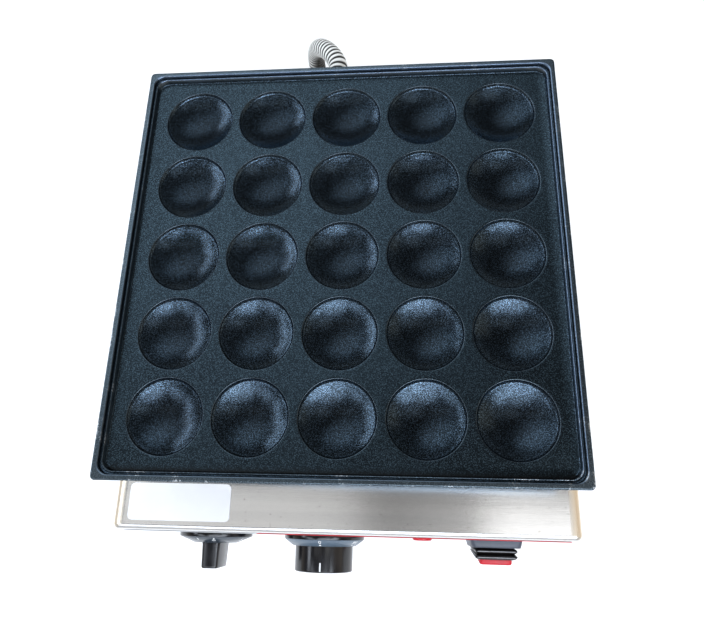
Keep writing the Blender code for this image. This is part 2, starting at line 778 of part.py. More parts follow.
def make_shell():
    shell = put("body_shell", shell_mesh(), stainless, (0, body_middle, body_under))
    cut_controls(shell)
    stud_hole = rod(STUD_DIAMETER / 2 + FIT, -OVERRUN - SHEET, OVERRUN, SCREW_SIDES)
    cut(shell, grouped(stud_hole, stud_places), (0, 0, body_top))
    hose_hole = rod(FITTING_THREAD_DIAMETER / 2 + FIT, -OVERRUN - SHEET, OVERRUN)
    cut(shell, hose_hole, (LOWER_FITTING_OFFSET, body_rear, lower_fitting_level), REAR)
    gland_hole = rod(GLAND_THREAD_DIAMETER / 2 + FIT, -OVERRUN - SHEET, OVERRUN)
    cut(shell, gland_hole, (gland_offset, body_rear, lower_fitting_level), REAR)
    vents = vent_row(REAR_VENTS)
    cut(shell, vents, (-vent_offset, body_rear, body_top - VENT_DROP), REAR)


def make_base():
    width = BODY_WIDTH - 2 * BASE_INSET
    depth = body_depth - 2 * BASE_INSET
    mesh = slab(width, depth, BASE_CORNER, 0, BASE_SHEET)
    base = put("base_plate", mesh, zinc_steel, (0, body_middle, base_under))
    vents = vent_row(BASE_VENTS)
    for side in (-1, 1):
        cut(base, vents, (side * vent_offset, body_middle, base_under + BASE_SHEET))
    foot_hole = rod(FOOT_SCREW_DIAMETER / 2 + FIT, -OVERRUN, BASE_SHEET + OVERRUN, SCREW_SIDES)
    cut(base, grouped(foot_hole, foot_places()), (0, 0, base_under))


# Feet
def foot_places():
    places = corners(BODY_WIDTH / 2 - FOOT_INSET, body_depth / 2 - FOOT_INSET)
    return [place + Vector((0, body_middle, 0)) for place in places]


def make_feet():
    bore = FOOT_SCREW_DIAMETER / 2 + FIT
    radius = FOOT_DIAMETER / 2
    recess = FOOT_RECESS_DIAMETER / 2
    mesh = turned([
        (recess, 0), (radius - FOOT_ROUND, 0), (radius, FOOT_ROUND), (FOOT_TOP_DIAMETER / 2, FOOT_HEIGHT),
        (bore, FOOT_HEIGHT), (bore, FOOT_RECESS_DEPTH), (recess, FOOT_RECESS_DEPTH),
    ])
    seat = FOOT_RECESS_DEPTH - FIT
    nut_level = base_under + BASE_SHEET + FIT
    radius = FOOT_SCREW_DIAMETER / 2
    head = circle(radius * SCREW_HEAD_SHARE, NUT_SIDES)
    head_level = seat - FOOT_SCREW_DIAMETER * SCREW_HEAD_HEIGHT_SHARE
    outlines = nutted(
        radius, seat, nut_level + FOOT_SCREW_TAIL, FOOT_NUT_ACROSS, nut_level, nut_level + FOOT_NUT_HEIGHT
    )
    bolt = loft([lifted(head, head_level), lifted(head, seat)] + outlines)
    for name, place in zip(CORNER_NAMES, foot_places()):
        put("foot_" + name, mesh, rubber, place)
        put("foot_screw_" + name, bolt, zinc_steel, place)


# Blank label and front film
def make_films():
    label = slab(LABEL_WIDTH, LABEL_DEPTH, LABEL_CORNER, 0, LABEL_THICKNESS)
    left = -BODY_WIDTH / 2 + LABEL_SIDE_MARGIN + LABEL_WIDTH / 2
    front = body_front + LABEL_FRONT_MARGIN + LABEL_DEPTH / 2
    put("blank_label", label, white_film, (left, front, body_top + FIT))
    width = BODY_WIDTH - 2 * FILM_MARGIN
    height = BODY_HEIGHT - 2 * FILM_MARGIN
    film = slab(width, height, FILM_CORNER, FIT, film_front)
    middle = Vector((0, body_front, body_under + BODY_HEIGHT / 2))
    node = put("panel_film", film, red_film, middle, FRONT)
    cut_controls(node)


# Timer and thermostat: body with bushing, shaft, and knob
def control_body(width, height, depth, corner):
    """A housing behind the panel with a bushing that holds the shaft."""
    front = -SHEET - FIT
    bushing = circle(BUSHING_DIAMETER / 2, ROUND_SIDES)
    bore = circle(SHAFT_DIAMETER / 2 + FIT, ROUND_SIDES)
    outline = rounded(width, height, corner)
    return loft([
        lifted(outline, front - depth),
        lifted(outline, front),
        lifted(bushing, front),
        lifted(bushing, BUSHING_REACH),
        lifted(bore, BUSHING_REACH),
        lifted(bore, front - SHAFT_GRIP - FIT),
    ])


def make_shaft(name, offset):
    low = -SHEET - FIT - SHAFT_GRIP
    shaft = rod(SHAFT_DIAMETER / 2, low, KNOB_BORE_END - FIT)
    put(name, shaft, zinc_steel, panel_place(offset), FRONT)


def skirt_profile(skirt, cone):
    """Front and back of a knob's round skirt, up to where its grip starts."""
    rim = knob_back + KNOB_RIM
    front = rim + KNOB_CONE
    outside = [(cone / 2, front), (skirt / 2, rim), (skirt / 2, knob_back)]
    ceiling = front - KNOB_WALL
    inside = [(skirt / 2 - KNOB_WALL, knob_back), (cone / 2 - KNOB_WALL, ceiling)]
    return outside, inside, ceiling


def make_timer():
    body = control_body(TIMER_BODY_WIDTH, TIMER_BODY_HEIGHT, TIMER_BODY_DEPTH, TIMER_BODY_CORNER)
    place = panel_place(timer_offset)
    put("timer_body", body, cream_plastic, place, FRONT)
    nut = hex_ring(TIMER_NUT_ACROSS, BUSHING_DIAMETER / 2 + FIT, 0, TIMER_NUT_HEIGHT)
    put("timer_nut", nut, brass, place + Vector((0, -film_front - FIT, 0)), FRONT)
    make_shaft("timer_shaft", timer_offset)
    outside, inside, ceiling = skirt_profile(TIMER_SKIRT_DIAMETER, TIMER_CONE_DIAMETER)
    front = outside[0][1]
    skirt = turned([(0, front)] + outside + inside + [(0, ceiling)], FINE_SIDES)
    knob = put("timer_knob", skirt, black_plastic, place, FRONT)
    grip = loft([
        lifted(rounded(GRIP_WIDTH, GRIP_LENGTH, GRIP_ROUND), (front + ceiling) / 2),
        lifted(rounded(GRIP_TIP_WIDTH, GRIP_TIP_LENGTH, GRIP_ROUND), KNOB_REACH - GRIP_ROUND / 3),
        lifted(
            rounded(GRIP_TIP_WIDTH - GRIP_ROUND / 2, GRIP_TIP_LENGTH - GRIP_ROUND / 2, GRIP_ROUND / 2),
            KNOB_REACH,
        ),
    ])
    fuse(knob, grip, place, FRONT)
    bore = rod(SHAFT_DIAMETER / 2 + FIT, ceiling - OVERRUN, KNOB_BORE_END)
    cut(knob, bore, place, FRONT)


def make_thermostat():
    body = control_body(
        THERMOSTAT_BODY_WIDTH, THERMOSTAT_BODY_HEIGHT, THERMOSTAT_BODY_DEPTH, THERMOSTAT_BODY_CORNER
    )
    place = panel_place(thermostat_offset)
    node = put("thermostat_body", body, zinc_steel, place, FRONT)
    low = -SHEET - FIT - THERMOSTAT_SCREW_GRIP - FIT
    hole = rod(THERMOSTAT_SCREW_DIAMETER / 2 + FIT, low, OVERRUN, SCREW_SIDES)
    cut(node, grouped(hole, thermostat_screw_places()), place, FRONT)
    grip = film_front + FIT + SHEET + FIT + THERMOSTAT_SCREW_GRIP
    bolt = screw(THERMOSTAT_SCREW_DIAMETER, grip)
    for name, offset in zip(("left", "right"), thermostat_screw_places()):
        seat = place + offset - Vector((0, film_front + FIT, 0))
        put("thermostat_screw_" + name, bolt, zinc_steel, seat, REAR)
    make_shaft("thermostat_shaft", thermostat_offset)
    outside, inside, ceiling = skirt_profile(THERMOSTAT_SKIRT_DIAMETER, THERMOSTAT_CONE_DIAMETER)
    drum = DRUM_DIAMETER / 2
    bore = SHAFT_DIAMETER / 2 + FIT
    profile = [(0, KNOB_REACH), (drum - DRUM_ROUND, KNOB_REACH), (drum, KNOB_REACH - DRUM_ROUND)]
    profile += [(drum, outside[0][1])] + outside + inside
    profile += [(bore, ceiling), (bore, KNOB_BORE_END), (0, KNOB_BORE_END)]
    put("thermostat_knob", turned(profile, FINE_SIDES), black_plastic, place, FRONT)


# Pilot lamp
def make_lamp():
    place = panel_place(lamp_offset)
    lens = LENS_DIAMETER / 2
    stem = LENS_STEM_DIAMETER / 2
    seat = film_front + FIT
    edge = seat + LENS_EDGE
    top = seat + LENS_REACH
    low = seat - LENS_STEM_LENGTH
    profile = [
        (0, top), (lens / 2, top - LENS_EDGE / 4), (lens * 3 / 4, top - LENS_EDGE), (lens, edge),
        (lens, seat), (stem, seat), (stem, low), (0, low),
    ]
    put("lamp_lens", turned(profile), red_lens, place, FRONT)
    tube_radius = LAMP_TUBE_DIAMETER / 2
    body = turned([
        (0, low - FIT), (stem + FIT, low - FIT), (stem + FIT, seat - FIT), (tube_radius, seat - FIT),
        (tube_radius, -LAMP_TUBE_LENGTH), (0, -LAMP_TUBE_LENGTH),
    ])
    put("lamp_body", body, cream_plastic, place, FRONT)
    nut = hex_ring(LAMP_NUT_ACROSS, tube_radius + FIT, -LAMP_NUT_HEIGHT, 0)
    put("lamp_nut", nut, zinc_steel, place + Vector((0, SHEET + FIT, 0)), FRONT)


# Rocker switch. Its pieces tilt about a pin that lies along X behind the panel.
def tilted(outline, distance, share=1):
    """An outline at a distance in front of the pin, tilted by a share of the rocker's rest angle."""
    pivot = Matrix.Translation((0, 0, -PIVOT_DEPTH))
    turn = Matrix.Rotation(ROCKER_TILT * share, 4, "X")
    return [pivot @ turn @ (point + Vector((0, 0, distance))) for point in outline]


def boot_rings(wall):
    """Outlines of the boot's skin from its foot to its top, drawn in by a wall."""
    def ring(reach, distance, share):
        outline = rounded(
            BOOT_WIDTH + 2 * reach - 2 * wall, BOOT_HEIGHT + 2 * reach - 2 * wall, BOOT_CORNER - wall
        )
        return tilted(outline, distance, share)

    foot = film_front + FIT + PIVOT_DEPTH
    neck = foot + BEZEL_THICKNESS + FIT
    rings = [ring(0, foot, 0), ring(0, neck, 0)]
    for pleat in range(PLEATS):
        start = neck + pleat * PLEAT_PITCH
        rings.append(ring(PLEAT_REACH, start + PLEAT_PITCH / 2, (pleat + 1 / 2) / PLEATS))
        rings.append(ring(0, start + PLEAT_PITCH, (pleat + 1) / PLEATS))
    return rings


def boot_top():
    return film_front + FIT + PIVOT_DEPTH + BEZEL_THICKNESS + FIT + PLEATS * PLEAT_PITCH


def make_switch():
    place = panel_place(switch_offset)
    seat = film_front + FIT
    open_width = BOOT_WIDTH + 2 * FIT
    open_height = BOOT_HEIGHT + 2 * FIT
    opening = rounded(open_width, open_height, BOOT_CORNER)
    back = rounded(BEZEL_WIDTH, BEZEL_HEIGHT, BEZEL_CORNER)
    front = rounded(BEZEL_WIDTH - 2 * BEZEL_TAPER, BEZEL_HEIGHT - 2 * BEZEL_TAPER, BEZEL_CORNER)
    bezel = loft([
        lifted(opening, seat), lifted(back, seat), lifted(front, seat + BEZEL_THICKNESS),
        lifted(opening, seat + BEZEL_THICKNESS),
    ], False)
    put("switch_bezel", bezel, grey_plastic, place, FRONT)

    outer = rounded(housing_width(), housing_height(), BOOT_CORNER)
    inner = rounded(BOOT_WIDTH - 2 * BOOT_WALL, BOOT_HEIGHT - 2 * BOOT_WALL, BOOT_CORNER - BOOT_WALL)
    rim = film_front
    housing = put("switch_housing", loft([
        lifted(outer, -HOUSING_DEPTH), lifted(outer, rim), lifted(inner, rim), lifted(inner, -CAVITY_DEPTH)
    ]), black_plastic, place, FRONT)
    pin_place = place + Vector((0, PIVOT_DEPTH, 0))
    reach = housing_width() / 2
    cut(housing, rod(PIVOT_PIN_DIAMETER / 2 + FIT, -reach - OVERRUN, reach + OVERRUN), pin_place, SIDEWAYS)
    pin = rod(PIVOT_PIN_DIAMETER / 2, -reach, reach)
    put("switch_pin", pin, zinc_steel, pin_place, SIDEWAYS)
    blade = slab(BLADE_THICKNESS, BLADE_WIDTH, BLADE_THICKNESS / 4, -HOUSING_DEPTH - BLADE_LENGTH,
                 -HOUSING_DEPTH + HOUSING_WALL, 1)
    blades = grouped(blade, corners(housing_width() / 4, housing_height() / 4))
    fuse(housing, blades, place, FRONT)

    skin = boot_rings(0)
    lining = boot_rings(BOOT_WALL)
    top = tilted(
        rounded(BOOT_WIDTH - 2 * BOOT_WALL, BOOT_HEIGHT - 2 * BOOT_WALL, BOOT_CORNER - BOOT_WALL),
        boot_top() - BOOT_WALL,
    )
    boot = loft([top] + lining[-2::-1] + skin)
    put("switch_boot", boot, boot_rubber, place, FRONT)

    plate_front = boot_top() - BOOT_WALL - FIT
    plate_back = plate_front - PADDLE_PLATE
    wide = rounded(PADDLE_WIDTH, PADDLE_LENGTH, BOOT_CORNER)
    paddle = put("switch_paddle", loft([tilted(wide, plate_back), tilted(wide, plate_front)]),
                 cream_plastic, place, FRONT)
    web = rounded(PADDLE_WIDTH - 2 * BOOT_CORNER, PADDLE_WEB, BOOT_WALL)
    fuse(paddle, loft([tilted(web, 0), tilted(web, (plate_back + plate_front) / 2)]), place, FRONT)
    barrel = rod(BARREL_DIAMETER / 2, -PADDLE_WIDTH / 2, PADDLE_WIDTH / 2)
    fuse(paddle, barrel, pin_place, SIDEWAYS)
    bore = rod(PIVOT_PIN_DIAMETER / 2 + FIT, -PADDLE_WIDTH, PADDLE_WIDTH)
    cut(paddle, bore, pin_place, SIDEWAYS)

    cap_back = boot_top() + FIT
    cap_edge = rounded(CAP_WIDTH, CAP_LENGTH, CAP_CORNER)
    cap_face = rounded(CAP_WIDTH - 2 * CAP_TAPER, CAP_LENGTH - 2 * CAP_TAPER, CAP_CORNER)
    cap = loft([
        tilted(cap_edge, cap_back),
        tilted(cap_edge, cap_back + CAP_THICKNESS - CAP_TAPER),
        tilted(cap_face, cap_back + CAP_THICKNESS),
    ])
    put("rocker_cap", cap, red_plastic, place, FRONT)


# Hose, fittings and what runs through the hose
def fitting_mesh(wall):
    """A hose fitting: threaded tail through the wall, hexagon, and a ferrule round the hose."""
    def ring(radius, level):
        return lifted(circle(radius, NUT_SIDES), level)

    bore = FITTING_BORE_DIAMETER / 2
    thread = FITTING_THREAD_DIAMETER / 2
    hexed = hexagon(FITTING_ACROSS, NUT_SIDES)
    ferrule = FERRULE_DIAMETER / 2
    recess = HOSE_DIAMETER / 2 + FIT
    tail = -wall - FITTING_TAIL
    return loft([
        ring(bore, tail), ring(thread, tail), ring(thread, FIT), lifted(hexed, FIT),
        lifted(hexed, FITTING_HEX_LENGTH), ring(ferrule, FITTING_HEX_LENGTH), ring(ferrule, fitting_length),
        ring(recess, fitting_length), ring(recess, fitting_length - FERRULE_RECESS),
        ring(bore, fitting_length - FERRULE_RECESS),
    ], False)


def make_fittings():
    nut = hex_ring(LOCK_NUT_ACROSS, FITTING_THREAD_DIAMETER / 2 + FIT, -LOCK_NUT_HEIGHT, 0)
    places = (
        ("upper", UPPER_FITTING_OFFSET, tray_rear, upper_fitting_level, TRAY_SHEET),
        ("lower", LOWER_FITTING_OFFSET, body_rear, lower_fitting_level, SHEET),
    )
    for name, offset, wall_place, level, wall in places:
        place = Vector((offset, wall_place, level))
        put("hose_fitting_" + name, fitting_mesh(wall), brass, place, REAR)
        put("hose_nut_" + name, nut, brass, place - Vector((0, wall + FIT, 0)), REAR)


def make_hose():
    """Two points of unlike radius make one rib. The bore is a plainer tube."""
    ribs = round(line_length(hose_points) / RIB_PITCH)
    line = evenly(hose_points, 2 * ribs)
    crest = HOSE_DIAMETER / 2
    radii = [crest - HOSE_GROOVE_DEPTH * (index % 2) for index in range(len(line))]
    hose = put("ribbed_hose", tube(line, radii, 2), stainless)
    before = line[0] - Vector((0, OVERRUN, 0))
    after = line[-1] - Vector((0, OVERRUN, 0))
    bore_line = [before] + line[::HOSE_BORE_STEP] + [after]
    bore = tube(bore_line, [HOSE_BORE_DIAMETER / 2] * len(bore_line), 2)
    cut(hose, bore)


def beside(points, sideways, upwards):
    """A line that keeps its place beside another one, without twisting round it."""
    tangent = (points[1] - points[0]).normalized()
    across = Vector((1, 0, 0))
    moved = []
    for index, point in enumerate(points):
        far = points[min(index + 1, len(points) - 1)]
        near = points[max(index - 1, 0)]
        turned_tangent = (far - near).normalized()
        across = tangent.rotation_difference(turned_tangent) @ across
        tangent = turned_tangent
        moved.append(point + sideways * across + upwards * across.cross(tangent))
    return moved


def entered(start, inside_line, end, start_handle, end_handle):
    """A line from a start facing +Y, through the hose, to an end that is met facing -Y."""
    first = inside_line[0]
    last = inside_line[-1]
    straight = Vector((0, LEAD_DIAMETER, 0))
    ahead = Vector((0, start_handle, 0))
    back = Vector((0, end_handle, 0))
    leaving = start + straight
    arriving = end + straight
    near = smooth_line(leaving, leaving + ahead, first - Vector((0, LEAD_HANDLE, 0)), first, LEAD_STEPS)
    far = smooth_line(last, last - back, arriving + back, arriving, LEAD_STEPS)
    return [start] + near[:-1] + inside_line + far[1:] + [end]


def make_leads():
    beyond = hose_start + FITTING_TAIL + LEAD_DIAMETER
    inside_tail = Vector((0, beyond + TRAY_SHEET, 0))
    outside_tail = Vector((0, beyond + SHEET, 0))
    route = [hose_points[0] - inside_tail] + hose_points + [hose_points[-1] - outside_tail]
    centre = evenly(route, LEAD_HOSE_STEPS)
    ends = ELEMENT_SPACING * 3 / 2
    rear = block_middle() + BLOCK_DEPTH / 2 + FIT
    port = block_under + BLOCK_HEIGHT * PORT_HEIGHT_SHARE
    for name, side in (("element_lead_left", -1), ("element_lead_right", 1)):
        line = beside(centre, side * BORE_OFFSET, 0)
        start = Vector((side * ends, ELEMENT_END + PIN_LENGTH + FIT, element_level))
        end = Vector((BLOCK_OFFSET + side * PORT_SPACING / 2, rear, port))
        points = entered(start, line, end, LEAD_HANDLE, LEAD_HANDLE)
        put(name, tube(points, [LEAD_DIAMETER / 2] * len(points), 1), lead_sleeve)
    line = beside(centre, 0, -BORE_OFFSET)
    start = Vector((-ELEMENT_SPACING, BULB_LENGTH / 2 + FIT, element_level))
    behind = body_front + SHEET + 2 * FIT + THERMOSTAT_BODY_DEPTH
    end = Vector((thermostat_offset, behind, control_level + THERMOSTAT_BODY_HEIGHT / 4))
    points = entered(start, line, end, CAPILLARY_HANDLE, CAPILLARY_HANDLE)
    put("thermostat_capillary", tube(points, [CAPILLARY_DIAMETER / 2] * len(points), 1), copper)


# Mains gland
def make_gland():
    thread = GLAND_THREAD_DIAMETER / 2
    bore = GLAND_BORE_DIAMETER / 2
    dome = GLAND_DOME_DIAMETER / 2
    tail = -SHEET - FITTING_TAIL
    top = GLAND_HEX_LENGTH + GLAND_DOME_LENGTH

    def ring(radius, level):
        return lifted(circle(radius, NUT_SIDES), level)

    hexed = hexagon(GLAND_ACROSS, NUT_SIDES)
    mesh = loft([
        ring(bore, tail), ring(thread, tail), ring(thread, FIT), lifted(hexed, FIT),
        lifted(hexed, GLAND_HEX_LENGTH), ring(dome, GLAND_HEX_LENGTH),
        ring(dome, GLAND_HEX_LENGTH + GLAND_DOME_LENGTH / 2), ring((dome + bore) / 2, top), ring(bore, top),
    ], False)
    place = Vector((gland_offset, body_rear, lower_fitting_level))
    put("mains_gland", mesh, black_plastic, place, REAR)
    nut = hex_ring(GLAND_NUT_ACROSS, thread + FIT, -GLAND_NUT_HEIGHT, 0)
    put("mains_gland_nut", nut, black_plastic, place - Vector((0, SHEET + FIT, 0)), REAR)


# Terminal block and control wires
def block_middle():
    return body_rear - BLOCK_REAR_MARGIN


def make_block():
    place = Vector((BLOCK_OFFSET, block_middle(), block_under))
    block = put("terminal_block", slab(BLOCK_WIDTH, BLOCK_DEPTH, BLOCK_CORNER, 0, BLOCK_HEIGHT),
                cream_plastic, place)
    ports = [Vector(((column - 3 / 2) * PORT_SPACING, 0, 0)) for column in range(4)]
    hole = rod(BLOCK_SCREW_DIAMETER, -BLOCK_SCREW_INSET, OVERRUN, SCREW_SIDES)
    top = place + Vector((0, 0, BLOCK_HEIGHT))
    cut(block, grouped(hole, ports), top)
    head = rod(BLOCK_SCREW_DIAMETER * SCREW_HEAD_SHARE / 2, -2 * BLOCK_SCREW_INSET, -BLOCK_SCREW_INSET / 3,
               SCREW_SIDES)
    fuse(block, grouped(head, ports), top)


def make_wires():
    """One wire from the rear of each control to its port in the front of the terminal block."""
    front = body_front + SHEET + FIT
    starts = (
        ("wire_timer", timer_offset, front + TIMER_BODY_DEPTH),
        ("wire_thermostat", thermostat_offset, front + THERMOSTAT_BODY_DEPTH),
        ("wire_lamp", lamp_offset, body_front + LAMP_TUBE_LENGTH),
        ("wire_switch", switch_offset, body_front + HOUSING_DEPTH),
    )
    port = block_under + BLOCK_HEIGHT * PORT_HEIGHT_SHARE
    handle = Vector((0, WIRE_HANDLE, 0))
    straight = Vector((0, WIRE_DIAMETER, 0))
    for index, (name, offset, behind) in enumerate(starts):
        drop = WIRE_DROP if name != "wire_lamp" else 0
        start = Vector((offset, behind + FIT, control_level - drop))
        across = BLOCK_OFFSET + (index - 3 / 2) * PORT_SPACING
        end = Vector((across, block_middle() - BLOCK_DEPTH / 2 - FIT, port))
        leaving = start + straight
        arriving = end - straight
        points = smooth_line(leaving, leaving + handle, arriving - handle, arriving, WIRE_STEPS)
        points = [start] + points + [end]
        put(name, tube(points, [WIRE_DIAMETER / 2] * len(points), 1), wire_sleeve)


make_plate()
make_heater()
make_tray()
make_studs()
make_shell()
make_base()
make_feet()
make_films()
make_timer()
make_thermostat()
make_lamp()
make_switch()
make_fittings()
make_hose()
make_leads()
make_gland()
make_block()
make_wires()

bpy.context.view_layer.update()
print("body top", round(body_top, 5), "plate floor", round(plate_floor, 5), "rim top", round(rim_top, 5))
print("panel front", round(body_front + centre_shift, 5), "control level", round(control_level, 5))
print("rocker pin", round(body_front + centre_shift + PIVOT_DEPTH, 5))
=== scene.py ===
# %% [markdown]
# # A square mini-pancake grill
#
# The frame below holds the measured solids of the grill: a cast plate with 25 round pits, a
# folded steel box under it, two knobs, a lamp and a rocker switch on the front, and a ribbed
# hose behind. This notebook dresses them. Each cell first says what a piece is on the real
# object, how it could be made, and why one way was taken, and the next cell makes it.

# %% Load the frame
import json
import math

import bmesh
import bpy
from mathutils import Matrix, Vector, geometry


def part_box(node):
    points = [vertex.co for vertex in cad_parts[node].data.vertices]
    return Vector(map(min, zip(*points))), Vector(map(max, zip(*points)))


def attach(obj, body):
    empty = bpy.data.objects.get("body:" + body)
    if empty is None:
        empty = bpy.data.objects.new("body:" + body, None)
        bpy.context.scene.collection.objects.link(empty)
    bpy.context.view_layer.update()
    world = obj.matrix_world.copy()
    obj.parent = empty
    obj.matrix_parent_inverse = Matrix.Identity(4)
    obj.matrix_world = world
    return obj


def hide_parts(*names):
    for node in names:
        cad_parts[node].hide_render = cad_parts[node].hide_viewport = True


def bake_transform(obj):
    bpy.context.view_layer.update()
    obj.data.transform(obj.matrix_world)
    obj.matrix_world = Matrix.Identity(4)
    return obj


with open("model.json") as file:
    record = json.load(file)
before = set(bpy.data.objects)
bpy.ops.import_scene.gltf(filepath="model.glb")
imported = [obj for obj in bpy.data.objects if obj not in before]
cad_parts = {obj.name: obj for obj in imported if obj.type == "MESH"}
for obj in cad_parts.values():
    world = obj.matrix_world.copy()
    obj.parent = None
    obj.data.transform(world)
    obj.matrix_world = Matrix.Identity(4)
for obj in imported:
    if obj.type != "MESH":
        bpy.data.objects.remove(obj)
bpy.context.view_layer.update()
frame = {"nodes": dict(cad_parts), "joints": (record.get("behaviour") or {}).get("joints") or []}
MM = 0.001

# %% [markdown]
# ## Where things are
#
# Every place is read from the frame, so the pieces follow the solids by themselves. The plate's
# middle is the origin of the plan, and the two knobs and the rocker are placed at their joints.

# %% Places from the frame
plate_low, plate_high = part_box("griddle_plate")
body_low, body_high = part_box("body_shell")
tray_low, tray_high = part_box("plate_tray")
film_low, film_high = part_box("panel_film")
plan = Vector((0, (plate_low.y + plate_high.y) / 2, 0))
body_middle = (body_low + body_high) / 2
joint_place = {joint["name"]: Vector(joint["pos_m"]) for joint in frame["joints"]}
timer_place = joint_place["timer_turn"]
thermostat_place = joint_place["thermostat_turn"]
panel = timer_place.y
FACING_FRONT = Matrix.Rotation(math.radians(90), 4, "X")
FACING_REAR = Matrix.Rotation(math.radians(-90), 4, "X")
print("plate", [round(size, 4) for size in plate_high - plate_low], "panel at", round(panel, 5))

# %% [markdown]
# ## The camera
#
# The photograph was taken with a phone held above the front edge, a little to the right, and
# looking steeply down. The centres of the 25 pits give nearly all of that: a pinhole camera
# fitted to them puts the lens 366 mm above the plate. The camera could be aimed by a constraint,
# but its three axes written out are exact and can't drift.

# %% Camera
FOCAL_LENGTH_PIXELS = 605.2
PHOTO_WIDTH_PIXELS = 704
SENSOR_WIDTH_MM = 36
NEAR_LIMIT = 10 * MM
LENS_FROM_PLATE = Vector((40.6, -163.7, 366.4)) * MM
LOOK = Vector((-0.0851, 0.3138, -0.9457)).normalized()
PHOTO_RIGHT = Vector((0.9964, 0.0240, -0.0816))
RIM_HEIGHT = 6 * MM


def into_scene(name, data):
    """Put a mesh, a text, a lamp or a camera into the scene, at the origin."""
    made = bpy.data.objects.new(name, data)
    bpy.context.scene.collection.objects.link(made)
    return made


plate_floor = plate_high.z - RIM_HEIGHT
camera = into_scene("camera", bpy.data.cameras.new("camera"))
camera.data.sensor_width = SENSOR_WIDTH_MM
camera.data.lens = FOCAL_LENGTH_PIXELS * SENSOR_WIDTH_MM / PHOTO_WIDTH_PIXELS
camera.data.clip_start = NEAR_LIMIT
back = -LOOK
right = (PHOTO_RIGHT - PHOTO_RIGHT.dot(back) * back).normalized()
axes = Matrix((right, back.cross(right), back)).transposed()
place = plan + LENS_FROM_PLATE + Vector((0, 0, plate_floor))
camera.matrix_world = Matrix.Translation(place) @ axes.to_4x4()
bpy.context.scene.camera = camera
bpy.context.scene.view_settings.view_transform = "Standard"
print("lens", round(camera.data.lens, 2), "mm at", [round(value, 4) for value in place])

# %% [markdown]
# ## Writing materials
#
# A material is a small tree of nodes. One helper fills a socket: a plain value is typed in, and
# another node's output is linked. Another adds a node and fills all its sockets that way. They
# serve the materials and the groups that these share.

# %% Node helpers
def fill(tree, socket, value):
    """Link another node's output to a socket, or type a value into it."""
    if isinstance(value, bpy.types.NodeSocket):
        tree.links.new(value, socket)
    else:
        socket.default_value = (*value, 1) if socket.type == "RGBA" else value


def add(tree, kind, sockets=None, **settings):
    """Add one shader node and fill its sockets, given by name or number."""
    made = tree.nodes.new("ShaderNode" + kind)
    for name, value in settings.items():
        setattr(made, name, value)
    for name, value in (sockets or {}).items():
        fill(tree, made.inputs[name], value)
    return made


def ramp(tree, value, low, high, low_out=0.0, high_out=1.0):
    """Spread the range low to high over another range, and clamp it."""
    sockets = {"Value": value, "From Min": low, "From Max": high, "To Min": low_out, "To Max": high_out}
    return add(tree, "MapRange", sockets).outputs["Result"]


def math_node(tree, operation, first, second=0.0):
    return add(tree, "Math", {0: first, 1: second}, operation=operation).outputs[0]


def times(tree, first, second):
    return math_node(tree, "MULTIPLY", first, second)


def plus(tree, first, second):
    return math_node(tree, "ADD", first, second)


def blend_colours(tree, share, first, second):
    return add(tree, "Mix", {0: share, 6: first, 7: second}, data_type="RGBA").outputs[2]


def noise_at(tree, spot, scale, detail, roughness=0.5):
    sockets = {"Vector": spot, "Scale": scale, "Detail": detail, "Roughness": roughness}
    return add(tree, "TexNoise", sockets).outputs["Fac"]


def axis_of(tree, vector, axis):
    return add(tree, "SeparateXYZ", {"Vector": vector}).outputs[axis]


def object_place(tree):
    return add(tree, "TexCoord").outputs["Object"]


def stored(tree, name):
    """A value that the mesh keeps at each point."""
    return add(tree, "Attribute", attribute_name=name).outputs["Fac"]

# %% [markdown]
# ## Effects that several finishes share
#
# Three effects come back in almost every finish. *Mottle* is the slow, cloudy change in tone
# that any surface has. *Grains* are small bright specks, as in a sprayed non-stick coat.
# *Brushed lines* are the long fine scratches of rolled steel: noise that is stretched along one
# direction. Each is a group, built once, with its own scale wherever it is used.

# %% Shared groups
def new_group(name, inputs, outputs):
    """An empty node group: its tree, what it is given, and what it puts out."""
    tree = bpy.data.node_groups.new(name, "ShaderNodeTree")
    for socket, value in inputs.items():
        kind = "NodeSocketVector" if value is None else "NodeSocketFloat"
        made = tree.interface.new_socket(socket, in_out="INPUT", socket_type=kind)
        if value is not None:
            made.default_value = value
    for socket in outputs:
        tree.interface.new_socket(socket, in_out="OUTPUT", socket_type="NodeSocketFloat")
    return tree, tree.nodes.new("NodeGroupInput").outputs, tree.nodes.new("NodeGroupOutput").inputs


def make_mottle():
    inputs = {"Vector": None, "Scale": 40.0, "Low": 0.35, "High": 0.65}
    tree, given, put = new_group("mottle", inputs, ["Mask"])
    noise = noise_at(tree, given["Vector"], given["Scale"], 4.0, 0.55)
    fill(tree, put["Mask"], ramp(tree, noise, given["Low"], given["High"]))
    return tree


def make_grains():
    inputs = {"Vector": None, "Scale": 900.0, "Sparse": 0.62}
    tree, given, put = new_group("grains", inputs, ["Mask", "Height"])
    noise = noise_at(tree, given["Vector"], given["Scale"], 2.0, 0.6)
    fill(tree, put["Mask"], ramp(tree, noise, given["Sparse"], plus(tree, given["Sparse"], 0.12)))
    fill(tree, put["Height"], noise)
    return tree


